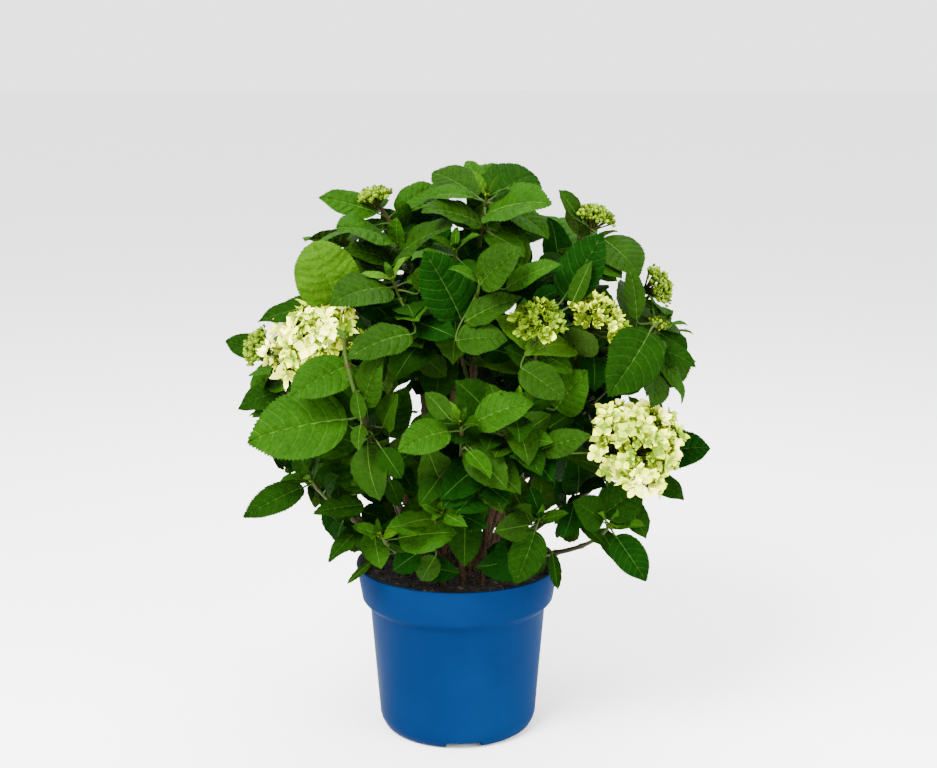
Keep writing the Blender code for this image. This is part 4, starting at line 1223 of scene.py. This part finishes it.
stem_piece = green_wood.join("stems_and_stalks", [
    stem_finish("stem_brown", (0.0104, 0.0089, 0.0030), (0.0252, 0.0222, 0.0074)),
    stem_finish("stem_olive", (0.0119, 0.0156, 0.0022), (0.0222, 0.0267, 0.0044)),
    stem_finish("stem_green", (0.0119, 0.0267, 0.0022), (0.0207, 0.0400, 0.0037)),
    stem_finish("stem_node", (0.0193, 0.0111, 0.0037), (0.0311, 0.0207, 0.0067)),
], crease=70)
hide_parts(*("mass_" + name for name in MASSES))


# ---- Leaves ----
# Broad oval leaves with a drawn-out tip and coarse forward teeth. The side veins run in curves to the
# margin, sunk and paler on top and raised beneath, and the blade is puffed up between them. The underside
# is paler and dull, and its colour is lightened further as painted light, standing in for the light that
# shines through the leaf.

VEIN_BREADTH = 0.0085
TOOTH = 0.024
FORWARD = 0.54
RIB_BREADTH = 0.0085
VEIN_DEPTH = 0.0045


def margin_share(t):
    """Half the blade's width over its greatest, to its teeth: rounded at the stalk, drawn out at the tip."""
    widest = 0.44
    drawn_out = 1 - 0.55 * max(0.0, (t - 0.74) / 0.26) ** 2
    return (t / widest) ** 0.55 * ((1 - t) / (1 - widest)) ** 0.84 * drawn_out


class BladePlan:
    """A flat blade's points in shares of its length and half width, and its faces. Rows follow the veins.

    A plain plan is for the many leaves further in. It has a row at each side vein only, and one keel
    beneath.
    """

    def __init__(self, laterals, columns, between_veins=(), plain=False):
        last = 0.83
        if plain:
            margins = [0.19 + 0.72 * k / (laterals - 1) for k in range(laterals)]
            rows = [(0.006, 0.3, False)] + [(y ** (1 / FORWARD), 0.0, False) for y in margins]
        else:
            first = 0.04
            step = (last - first) / (laterals - 1)
            rows = [(0.002, 0.1, False), (0.014, 0.4, False)]
            for k in range(laterals):
                t = first + step * k
                gap = step if k < laterals - 1 else 1 - last
                rows += [(t, 0.0, True), (t + VEIN_BREADTH, 0.0, False)]
                rows += [(t + gap * share, puff, False) for share, puff in between_veins]
        side_count = len(columns) - 1
        across = range(-side_count, side_count + 1)
        kept = [
            [c for c in across if c or not plain],
            [c for c in across if not plain or c % side_count == 0],
        ]
        widths = [margin_share(t**FORWARD) for t, _, _ in rows]
        at, fields = {}, []
        for layer in (0, 1):
            for r, (t, puff, _) in enumerate(rows):
                for c in kept[layer]:
                    if layer and abs(c) == side_count:
                        at[layer, r, c] = at[0, r, c]
                        continue
                    u = columns[abs(c)]
                    y = t + (t**FORWARD - t) * (0.45 * u + 0.55 * u * u)
                    quilt = puff * (4 * u * (1 - u)) ** 0.6 if u > 0 else 0.0
                    at[layer, r, c] = len(fields)
                    marks = (layer, abs(c) == 1, c == 0, puff == 0.0, 0)
                    fields.append((y, widths[r], np.sign(c), u, quilt, *marks))
        base, tip = len(fields), len(fields) + 1
        fields.append((0.0, 0.0, 0, 0, 0, 0, False, True, False, 0))
        fields.append((1.0, 0.0, 0, 0, 0, 0, False, False, False, 0))
        faces, slots = [], []
        for r in range(len(rows) - 1):
            vein = rows[r][2]
            teeth = {}
            for side in (-1, 1):
                if not vein:
                    edge = 0.30 * rows[r][0] ** FORWARD + 0.70 * rows[r + 1][0] ** FORWARD
                    teeth[side] = len(fields)
                    wide = 0.30 * widths[r] + 0.70 * widths[r + 1]
                    fields.append((edge + 0.010, wide, side, 1.0, 0, 0, False, False, False, 1))
            for layer in (0, 1):
                for left, right in zip(kept[layer], kept[layer][1:]):
                    a, b = at[layer, r, left], at[layer, r, right]
                    d, e = at[layer, r + 1, left], at[layer, r + 1, right]
                    if right == side_count and not vein:
                        made = [(a, b, teeth[1]), (a, teeth[1], d), (d, teeth[1], e)]
                    elif left == -side_count and not vein:
                        made = [(b, e, teeth[-1]), (b, teeth[-1], a), (e, d, teeth[-1])]
                    else:
                        made = [(a, b, e), (a, e, d)]
                    on_rib = abs(left) <= 1 and abs(right) <= 1
                    faces += [face if layer else face[::-1] for face in made]
                    slots += [(1 if on_rib else 2 if vein else 0) + 3 * layer] * len(made)
        for layer in (0, 1):
            for left, right in zip(kept[layer], kept[layer][1:]):
                for r, end in ((0, base), (len(rows) - 1, tip)):
                    a, b = at[layer, r, left], at[layer, r, right]
                    face = (a, b, end) if r else (a, end, b)
                    faces.append(face if layer else face[::-1])
                    slots.append((1 if abs(left) <= 1 and abs(right) <= 1 else 0) + 3 * layer)
        self.faces, self.slots = np.array(faces), np.array(slots)
        columns_of = np.array(fields, float).T
        self.y, self.wide, self.sign, self.u, self.quilt = columns_of[:5]
        self.layer, self.edge, self.centre, self.vein, self.tooth = columns_of[5:]
        self.twin = np.arange(len(fields))
        for (_, r, c), number in at.items():
            self.twin[number] = at.get((0, r, c), number)


def shape_blade(plan, leaf, dice):
    """The plan's points bent into one leaf: folded, arched, waved, puffed, twisted and curled."""
    _, base, ahead, face, length, width_share, curl, fold, _ = leaf
    draws = np.random.default_rng(dice.randrange(1 << 30))
    half = length * width_share / 2
    y, sign = plan.y, plan.sign
    blunt = 0.5 if width_share > 0.9 else 1.0
    x = sign * plan.u * plan.wide**blunt * half
    x = np.where(plan.edge > 0, sign * length * RIB_BREADTH * (1 - 0.72 * y), x)
    x = x + sign * plan.tooth * length * TOOTH * draws.uniform(0.55, 1.2, len(x)) * (1 - 0.35 * y)
    spread = np.abs(x) / half
    arch = dice.uniform(0.30, 0.85)
    z = half * spread * math.sin(fold) * (1 - arch * spread) * 1.25
    wave, beats = length * dice.uniform(0.006, 0.022), dice.uniform(1.6, 3.0)
    phases = np.where(sign > 0, dice.uniform(0, 6.28), dice.uniform(0, 6.28))
    z = z + wave * plan.u**2 * np.sin(2 * math.pi * beats * y + phases)
    z = z + length * dice.uniform(0.015, 0.024) * plan.quilt
    z = z + length * draws.uniform(-0.0025, 0.0025, len(x))[plan.twin] * (plan.u > 0.1) * (plan.u < 1)
    z = z - length * VEIN_DEPTH * plan.vein * plan.u * (1 - plan.layer)
    z = z - length * VEIN_DEPTH * plan.centre * (1 - 0.6 * y) * (1 - plan.layer)
    thick = 0.0048 * (1 - 0.9 * plan.u**3) + 0.013 * plan.centre * (1 - 0.75 * y)
    thick = thick + 0.0040 * plan.vein * (1 - plan.u)
    z = z - length * thick * plan.layer
    z = z - length * dice.uniform(-0.02, 0.08) * np.clip((y - 0.68) / 0.32, 0, 1) ** 2
    roll = dice.uniform(-0.40, 0.40) * y
    wide = x * math.cos(fold)
    x, z = wide * np.cos(roll) - z * np.sin(roll), wide * np.sin(roll) + z * np.cos(roll)
    x = x + length * dice.uniform(-0.07, 0.07) * y * y
    side = np.array(face.cross(ahead))
    ahead, face = np.array(ahead), np.array(face)
    turned = curl * y
    out, down = np.sin(turned) * length / curl, (1 - np.cos(turned)) * length / curl
    spine = np.array(base) + np.outer(out, ahead) - np.outer(down, face)
    normal = np.outer(np.cos(turned), face) + np.outer(np.sin(turned), ahead)
    return spine + np.outer(x, side) + normal * z[:, None]


outer_plan = BladePlan(7, (0, 0.1, 0.36, 0.70, 1.0), ((0.38, 1.0), (0.70, 0.9)))
inner_plan = BladePlan(6, (0, 0.1, 1.0), plain=True)
small_plan = BladePlan(5, (0, 0.12, 1.0), plain=True)
# Blade and midrib of each tint, and of the underside
TINTS = [
    ((0.0244, 0.0696, 0.0018), (0.0650, 0.1350, 0.0150)),
    ((0.0086, 0.0363, 0.0008), (0.0460, 0.1080, 0.0130)),
    ((0.0063, 0.0230, 0.0007), (0.0350, 0.0830, 0.0100)),
    ((0.0034, 0.0170, 0.0007), (0.0250, 0.0630, 0.0080)),
    ((0.0016, 0.0130, 0.0005), (0.0250, 0.0620, 0.0100)),
]
# Underside colours: paler than the blade, and lightened further as painted light for the light shining
# through the leaf
UNDER = ((0.0244, 0.0563, 0.0074), (0.0415, 0.0770, 0.0133))


def between(first, second, share):
    return tuple(a + (b - a) * share for a, b in zip(first, second))


def leaf_finish(name, colour, gloss, quilting, shine=0.0):
    """Leaf skin: even colour with faint mottling, a slight sheen, and a fine net of small veins as relief."""
    skin = Finish(name, roughness=gloss)
    net = skin.noise(240, 2)
    mottle = skin.share(skin.noise(38, 2), 0.35, 0.70) * 0.55 + skin.share(net, 0.36, 0.62) * 0.45
    skin.colour(skin.mix(mottle, between((0, 0, 0), colour, 0.66), between((0, 0, 0), colour, 1.10)))
    skin.rough(gloss - 0.06 + 0.12 * net)
    return skin.relief(net, 0.0028, quilting).shine(shine)


leaf_finishes = []
for k, (blade, rib) in enumerate(TINTS):
    leaf_finishes.append(leaf_finish(f"leaf_{k}", blade, 0.52, 0.75, 0.016 if k < DEEP else 0.005))
    leaf_finishes.append(leaf_finish(f"midrib_{k}", rib, 0.6, 0.2))
    leaf_finishes.append(leaf_finish(f"side_vein_{k}", between(blade, rib, 0.27), 0.6, 0.2))
leaf_finishes.append(leaf_finish("leaf_under", UNDER[0], 0.62, 0.4))
leaf_finishes.append(leaf_finish("leaf_under_vein", UNDER[1], 0.6, 0.2))
UNDER_SLOT = 3 * len(TINTS)
PIECE_LIMIT = 190000
OUTER_REACH = 0.90
SMALL_LEAF = 0.050
LEAF_SEED = 77
leaf_heaps = [Heap()]


def add_leaf(leaf, tint, dice, shows=False):
    """One leaf: detailed where it shows or lies far out, and plain further in."""
    _, base, ahead, _, length, *_ = leaf
    outer = shows or share_of_dome(base) > OUTER_REACH or share_of_dome(base + ahead * length) > 1.0
    plan = small_plan if length < SMALL_LEAF else outer_plan if outer else inner_plan
    if leaf_heaps[-1].face_count() > PIECE_LIMIT - len(plan.faces):
        leaf_heaps.append(Heap())
    slots = np.where(plan.slots < 3, plan.slots + 3 * tint, UNDER_SLOT + (plan.slots > 3))
    leaf_heaps[-1].add(shape_blade(plan, leaf, dice), plan.faces, slots)


dice = random.Random(LEAF_SEED)
for name, rows in leaves.items():
    for k, (leaf, tint, _) in enumerate(rows):
        add_leaf(leaf, tint, dice, k < laid_counts[name])
# The growing tips: two pairs of small leaves, still folded, round a bud
for name, (_, paths) in grown.items():
    for path, kind, turn in paths:
        if kind != "young":
            continue
        way = (path[-1] - path[-2]).normalized()
        right = way.orthogonal().normalized()
        sides = right, way.cross(right)
        for pair, (size, lean, rise) in enumerate(((0.034, 34, -0.004), (0.019, 16, 0.001))):
            size *= 0.55 if name == "front_left" else 1.0
            for half in (0, 1):
                angle = math.radians(turn + 90 + 90 * pair + 180 * half + dice.uniform(-10, 10))
                out = turned_out(sides, angle)
                open_way = math.radians(lean + dice.uniform(-8, 12))
                ahead = way * math.cos(open_way) + out * math.sin(open_way)
                face = square_to(ahead, way * math.sin(open_way) - out * math.cos(open_way))
                base = path[-1] + way * rise + out * 0.0015
                length = size * dice.uniform(0.85, 1.2)
                leaf = (base, base, ahead, face, length, 0.50, dice.uniform(0.3, 0.9), math.radians(32), ())
                add_leaf(leaf, dice.choice((LIGHT, BRIGHT, BRIGHT, MIDDLE)), dice)
for k, heap in enumerate(leaf_heaps):
    piece = heap.join(f"leaves_{k + 1}", leaf_finishes)


# ---- Flower heads ----
# Mopheads at every stage: two full blooms of creamy four-petalled florets on the front and one behind,
# half-open heads of small cupped lime florets, and flat clusters of green buds. Each floret stands on its
# own thin stalk, and the stalks meet in a few rays at the end of the stem.

WHITE, CREAM, PALE_LIME, LIME, GREEN_EYE, BUD, BUD_SHADE, RAY = range(8)
full_blooms, opening_heads, bud_clusters = Heap(), Heap(), Heap()


class PetalPlan:
    """One petal: rows of three points from its claw on, on top and beneath, and the tip point."""

    def __init__(self, shares, tip):
        self.rows = np.array((0.04, 0.34, 0.68, 0.91))
        self.widths = np.array(shares)
        self.tip = tip
        faces, slots = [], []
        for r in range(3):
            for c in range(2):
                a, b, d, e = 3 * r + c, 3 * r + c + 1, 3 * r + c + 3, 3 * r + c + 4
                faces += [(a, b, e), (a, e, d)]
                below = [13 + i // 3 if i % 3 == 1 else i for i in (a, b, d, e)]
                faces += [(below[0], below[3], below[1]), (below[0], below[2], below[3])]
                slots += [r] * 4
        for c in range(2):
            a, b = 9 + c, 10 + c
            faces.append((a, b, 12))
            low_a, low_b = (16 if a % 3 == 1 else a), (16 if b % 3 == 1 else b)
            faces.append((low_a, 12, low_b))
            slots += [2, 2]
        faces += [(0, 13, 1), (1, 13, 2)]
        slots += [0, 0]
        self.faces, self.slots = np.array(faces), np.array(slots)

    def points(self, size, width, cup, lift, dice):
        """The petal along +X, cupped up along +Z, its edges rolled unevenly and its tip drawn aside."""
        a = self.rows
        roll, skew = dice.uniform(0.0, 0.65), dice.uniform(-0.35, 0.35)
        bend = dice.uniform(-0.14, 0.14)
        x, half = a * size, self.widths * width * size / 2
        z = lift + size * (cup * a**2 - 0.10 * np.sin(a * 3.1))
        grid = np.zeros((17, 3))
        for c in (0, 1, 2):
            grid[c:12:3, 0] = x
            grid[c:12:3, 1] = (c - 1) * half + bend * a**2 * size
            grid[c:12:3, 2] = z + abs(c - 1) * roll * half + (c - 1) * skew * half
        grid[12] = (size * self.tip, bend * size, lift + size * (cup - 0.02))
        grid[13:17] = grid[1:12:3] - (0, 0, 0.035 * size)
        return grid


broad_petal = PetalPlan((0.16, 0.78, 0.94, 0.50), 1.04)
pointed_petal = PetalPlan((0.15, 0.66, 0.78, 0.34), 1.12)


def frame_of(axis):
    """Two directions square to an axis and the axis, as rows."""
    right = unit_rows(np.cross(axis, (0.37, 0.21, 0.9))[None])[0]
    return np.array((right, np.cross(axis, right), axis))


def unit(vector):
    return unit_rows(vector[None, :])[0]


BEAD = [(0, 0, -1.0)]
for r, z in ((0.86, -0.45), (0.90, 0.45)):
    BEAD += [(math.cos(k * math.pi / 3) * r, math.sin(k * math.pi / 3) * r, z) for k in range(6)]
BEAD = np.array(BEAD + [(0, 0, 1.1)])
BEAD_FACES = [(0, 1 + (k + 1) % 6, 1 + k) for k in range(6)]
for k in range(6):
    i, j = 1 + k, 1 + (k + 1) % 6
    BEAD_FACES += [(i, j, j + 6), (i, j + 6, i + 6), (i + 6, j + 6, 13)]


def add_bead(heap, middle, axis, radius, length, slot):
    bead = BEAD * (radius, radius, length) @ frame_of(np.array(axis))
    heap.add(np.array(middle) + bead, BEAD_FACES, slot)


def add_thread(heap, points, radius):
    skin, faces = tube(points, np.linspace(radius * 1.25, radius, len(points)), 4)
    heap.add(skin, faces, RAY)


def add_floret(heap, middle, axis, size, plan, cup, zones, dice):
    """A floret facing along its axis: four petals, coloured from claw to tip, and a bead for its eye."""
    basis = frame_of(np.array(axis))
    first = dice.uniform(0, 6.28)
    for k in range(4):
        turn = first + math.pi * k / 2 + dice.uniform(-0.16, 0.16)
        width = dice.uniform(0.90, 1.12)
        lift = (0.03 if k % 2 else -0.01) * size
        long, cupped = size * dice.uniform(0.84, 1.10), cup + dice.uniform(-0.18, 0.18)
        grid = plan.points(long, width, cupped, lift, dice)
        x, y = math.cos(turn), math.sin(turn)
        spin = np.array(((x, y, 0), (-y, x, 0), (0, 0, 1)))
        heap.add(np.array(middle) + grid @ spin @ basis, plan.faces, np.array(zones)[plan.slots])
    eye = np.array(middle) + np.array(axis) * size * 0.06
    add_bead(heap, eye, axis, size * 0.10, size * 0.12, GREEN_EYE)


def spread_spots(count, share):
    """Evenly spread directions over that share of a ball, from its top down."""
    golden = math.pi * (3 - math.sqrt(5))
    for k in range(count):
        z = 1 - 2 * share * (k + 0.5) / count
        across = math.sqrt(1 - z * z)
        yield np.array((across * math.cos(golden * k), across * math.sin(golden * k), z))


def stray(dice, amount):
    return np.array([dice.gauss(0, amount) for _ in range(3)])


# A head's bare spot, the way it is drawn out, and florets from the greenest to the ripest
BLOOM_GAP = {"low_right": np.array((0.02, -0.995, 0.02))}
DRAWN_OUT = {("left", 0): (-0.74, -0.20, -0.62), ("front_right", 0): (0.80, 0.0, -0.60)}
RIPENING = (
    (LIME, LIME, PALE_LIME),
    (LIME, PALE_LIME, PALE_LIME),
    (LIME, PALE_LIME, CREAM),
    (PALE_LIME, CREAM, CREAM),
    (PALE_LIME, CREAM, WHITE),
    (CREAM, WHITE, WHITE),
)
GREEN_ZONES = ((BUD_SHADE, BUD, BUD), (BUD, BUD, LIME), (BUD, LIME, LIME), (BUD_SHADE, BUD, LIME))
RIPE_ZONES = ((LIME, LIME, PALE_LIME), (LIME, PALE_LIME, CREAM), (PALE_LIME, PALE_LIME, CREAM))
BUD_SHADES = (BUD, BUD, LIME, LIME, BUD_SHADE)
OPENING_BUNCHES, RIM_BUNCHES = 17, 6
BUDS_IN_BUNCH = 15
HEAD_SEED = 900


def head_frame(path, axis, radius, flatness, depth):
    """A head's middle and axis, the basis round that axis, and the hub below where its rays fork."""
    middle, axis = np.array(path[-1]), np.array(axis)
    return middle, axis, frame_of(axis), middle - axis * radius * flatness * depth


def scatter(dice, sideways, upwards, basis):
    return np.array([dice.gauss(0, spread) for spread in (sideways, sideways, upwards)]) @ basis


def add_bloom(name, path, kind, dice):
    """A full mophead, uneven in outline and ripeness. Green buds still show between its florets."""
    radius, flatness, _ = HEADS[kind]
    middle, axis, basis, hub = head_frame(path, head_axis(path), radius, flatness, 0.85)
    dense = kind == "small_bloom"
    gap, tail = BLOOM_GAP.get(name), DRAWN_OUT.get((name, 0))
    seed_place = Vector((dice.uniform(0, 50), 0, 0))
    for number, spot in enumerate(spread_spots(136 if dense else 152, 0.82)):
        out = unit((spot * (1, 1, flatness)) @ basis + stray(dice, 0.06))
        reach = radius * math.sqrt(1 - (1 - flatness**2) * spot[2] ** 2)
        reach *= 0.93 + (0.24 if dense else 0.50) * noise.noise(Vector(out) * 2.7 + seed_place)
        if tail is not None:
            reach *= 0.80 + 0.40 * float(out @ tail) ** 2 + 0.16 * max(0.0, float(out @ tail)) ** 3
        near = 180.0 if gap is None else math.degrees(math.acos(min(1.0, float(out @ gap))))
        if near < 12:
            continue
        if near < 24 or number % 5 == 0:
            for _ in range(4):
                bud = middle + out * reach * dice.uniform(0.76, 0.92) + stray(dice, 0.0028)
                if dice.random() < 0.45:
                    round_bud = dice.uniform(0.0012, 0.0019)
                    add_bead(full_blooms, bud, out, round_bud, 0.0020, dice.choice((LIME, BUD)))
                else:
                    facing = unit(out + stray(dice, 0.3))
                    size = dice.uniform(0.0045, 0.0070)
                    add_floret(full_blooms, bud, facing, size, pointed_petal, 0.7, RIPENING[0], dice)
                add_thread(full_blooms, [hub, (hub + bud) / 2, bud], 0.0004)
            continue
        size = dice.uniform(0.0098, 0.0136) if dense else dice.uniform(0.0090, 0.0132)
        place = middle + out * reach * dice.uniform(0.76, 1.03)
        facing = unit(out + axis * 0.2 + stray(dice, 0.24))
        ripe = 3.3 + 7.5 * noise.noise(Vector(out) * 1.9 + seed_place * 2) + dice.gauss(0, 0.9)
        plan = broad_petal if not dense and dice.random() < 0.30 else pointed_petal
        zones = RIPENING[min(max(int(ripe), 0), 5)]
        add_floret(full_blooms, place, facing, size, plan, dice.uniform(0.10, 0.62), zones, dice)
        add_thread(full_blooms, [hub, (hub + place) / 2 + axis * 0.002, place - facing * 0.0006], 0.00045)


def add_opening_head(path, radius, dice, ripe, tail):
    """A half-open head: bunches of small cupped florets on rays, and a few open ones at its rim."""
    flatness = HEADS["opening"][1]
    middle, axis, basis, hub = head_frame(path, head_axis(path), radius, flatness, 1.05)
    for number, spot in enumerate(spread_spots(OPENING_BUNCHES, 0.44)):
        out = unit((spot * (1, 1, flatness)) @ basis + stray(dice, 0.10))
        off = out * radius * dice.uniform(0.70, 0.98) - axis * radius * 0.22
        if tail is not None:
            off = off * 0.88 + np.array(tail) * float(off @ tail) * 0.42
        bunch = middle + off
        foot = bunch - unit(out + axis) * 0.0075
        add_thread(opening_heads, [hub, (hub + foot) / 2 - axis * 0.0012, foot], 0.0009)
        at_rim = number > OPENING_BUNCHES - RIM_BUNCHES
        for k in range(6 if at_rim else 7):
            shift = scatter(dice, 0.0034, 0.0015, basis)
            place = bunch + shift
            larger = at_rim and k == 0
            size = dice.uniform(0.0072, 0.0100) if larger else dice.uniform(0.0040, 0.0064)
            zones = dice.choice(GREEN_ZONES)
            # The share of florets given the paler ripe zones; on the front right head it is raised partly as
            # painted light
            if dice.random() < ripe:
                zones = dice.choice(RIPE_ZONES)
            facing = unit(out + axis * 0.5 + shift * 90 + stray(dice, 0.16))
            cup = dice.uniform(0.3, 0.8) if larger else dice.uniform(0.8, 1.5)
            plan = broad_petal if dice.random() < 0.7 else pointed_petal
            add_floret(opening_heads, place, facing, size, plan, cup, zones, dice)
            add_thread(opening_heads, [foot, (foot + place) / 2, place], 0.00038)


def add_bud_cluster(path, radius, flatness, bunches, turned_to, dice):
    """A low dome of green buds: a ray to each bunch. It turns more than a bloom does."""
    turned = (head_axis(path) + turned_to).normalized()
    middle, axis, basis, hub = head_frame(path, turned, radius, flatness, 1.1)
    for spot in spread_spots(bunches, 0.52):
        out = (spot * (1, 1, flatness)) @ basis
        bunch = middle + out * radius * 0.88
        add_thread(bud_clusters, [hub, (hub + bunch) / 2 - axis * 0.001, bunch - axis * 0.003], 0.0008)
        for _ in range(BUDS_IN_BUNCH):
            shift = scatter(dice, 0.0027, 0.0012, basis)
            bud = bunch + shift
            size = dice.uniform(0.0013, 0.0022)
            add_thread(bud_clusters, [bunch - axis * 0.003, bud], 0.0003)
            facing = unit(axis + out * 0.5 + shift * 60)
            add_bead(bud_clusters, bud, facing, size, size * 1.25, dice.choice(BUD_SHADES))


# A side shoot with its first buds, heads that are smaller or larger than their kind, and heads that nod
FIRST_BUDS = {("right", 1)}
HEAD_SIZES = {("front_right", 1): 0.82, ("upper_left", 0): 0.80, ("right", 0): 1.10}
NODDING = {("right", 0): Vector((0.9, -0.5, 0.1)), ("left", 1): Vector((-0.9, -0.4, 0.1))}
for index, (name, (_, paths)) in enumerate(grown.items()):
    dice = random.Random(HEAD_SEED + index)
    for number, (path, kind, _) in enumerate(paths):
        radius = HEADS[kind][0] * HEAD_SIZES.get((name, number), 1.0)
        if "bloom" in kind:
            add_bloom(name, path, kind, dice)
        elif kind == "opening":
            # The front right cane's head gets many paler, riper florets: partly its own ripeness, partly
            # painted light for a head turned away from the key lamp
            riper_and_painted_lighter = name == "front_right" and number == 0
            add_opening_head(path, radius, dice, 0.75 if riper_and_painted_lighter else 0.06, DRAWN_OUT.get((name, number)))
        elif kind == "buds":
            add_bud_cluster(path, radius, 0.72, 26, NODDING.get((name, number), UP * 1.1), dice)
        elif (name, number) in FIRST_BUDS:
            add_bud_cluster(path, 0.010, 0.6, 8, UP, dice)
        else:
            for _ in range(5):
                at = path[-1] + Vector([dice.gauss(0, 0.0012) for _ in range(3)])
                add_bead(bud_clusters, at, (path[-1] - path[-2]).normalized(), 0.0014, 0.0024, BUD)


def petal_finish(name, shade, lit, gloss=0.55):
    petal = Finish(name, roughness=gloss)
    flush = petal.noise(160, 2)
    petal.colour(petal.mix(petal.share(flush, 0.35, 0.65), shade, lit))
    return petal.relief(petal.noise(700, 2), 0.0003, 0.35).shine(0.05)


petal_finishes = [
    petal_finish("petal_white", (0.90, 0.94, 0.10), (0.98, 0.99, 0.30)),
    petal_finish("petal_cream", (0.62, 0.74, 0.006), (0.86, 0.92, 0.03)),
    petal_finish("petal_pale_lime", (0.2411, 0.3482, 0.0027), (0.4018, 0.5089, 0.0089)),
    petal_finish("petal_lime", (0.0781, 0.1484, 0.0008), (0.1406, 0.2266, 0.0023)),
    petal_finish("petal_eye", (0.1562, 0.2578, 0.0031), (0.2812, 0.3594, 0.0078)),
    petal_finish("bud_green", (0.0328, 0.0641, 0.0008), (0.0703, 0.1172, 0.0023)),
    petal_finish("bud_shade", (0.0141, 0.0328, 0.0008), (0.0281, 0.0531, 0.0016)),
    petal_finish("ray_green", (0.0156, 0.0219, 0.0031), (0.0312, 0.0375, 0.0063)),
]
heads = {"full_blooms": full_blooms, "opening_heads": opening_heads, "bud_clusters": bud_clusters}
for name, heap in heads.items():
    heap.join(name, petal_finishes, crease=60)


# ---- Floor, light and camera ----
# A pale studio floor, a bright even surround, one large soft lamp above the front left and a weaker one
# on the right.

SURROUND_STRENGTH = 2.8
LAMPS_AIM = (0, 0, 0.35)
CAMERA_LENS = 63.4
CAMERA_PLACE = (0.0124, -1.80, 0.786)
DEGREES_DOWN = 12.12
begin()
bpy.ops.mesh.primitive_plane_add(size=40)
floor = settle(bpy.context.active_object, "studio_floor")
pale = Finish("pale_floor", roughness=0.9)
pale.colour(pale.mix(pale.noise(3), (0.88, 0.88, 0.875), (0.92, 0.92, 0.915)))
floor.data.materials.append(pale.material)
floor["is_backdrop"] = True

world = bpy.data.worlds.new("surround")
bpy.context.scene.world = world
world.use_nodes = True
surround = world.node_tree.nodes["Background"].inputs
surround["Color"].default_value = (1, 1, 1, 1)
surround["Strength"].default_value = SURROUND_STRENGTH


def soft_lamp(name, place, target, size, power):
    data = bpy.data.lights.new(name, "AREA")
    data.size = size
    data.energy = power
    lamp = bpy.data.objects.new(name, data)
    bpy.context.scene.collection.objects.link(lamp)
    lamp.location = place
    lamp.rotation_euler = (Vector(target) - Vector(place)).to_track_quat("-Z", "Y").to_euler()


soft_lamp("key", (-0.9, -1.5, 2.1), LAMPS_AIM, 1.0, 324)
soft_lamp("fill", (1.6, -1.2, 0.9), LAMPS_AIM, 1.2, 85)
soft_lamp("top", (0.2, 0.7, 2.2), (0, 0, 0.4), 1.4, 81)

camera_data = bpy.data.cameras.new("camera")
camera_data.lens = CAMERA_LENS
camera = bpy.data.objects.new("camera", camera_data)
bpy.context.scene.collection.objects.link(camera)
camera.location = CAMERA_PLACE
camera.rotation_euler = (math.radians(90 - DEGREES_DOWN), 0, 0)
bpy.context.scene.camera = camera

shown_low, shown_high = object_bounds()
boxes = [list(corner) for corner in (cad_low, cad_high, shown_low, shown_high)]
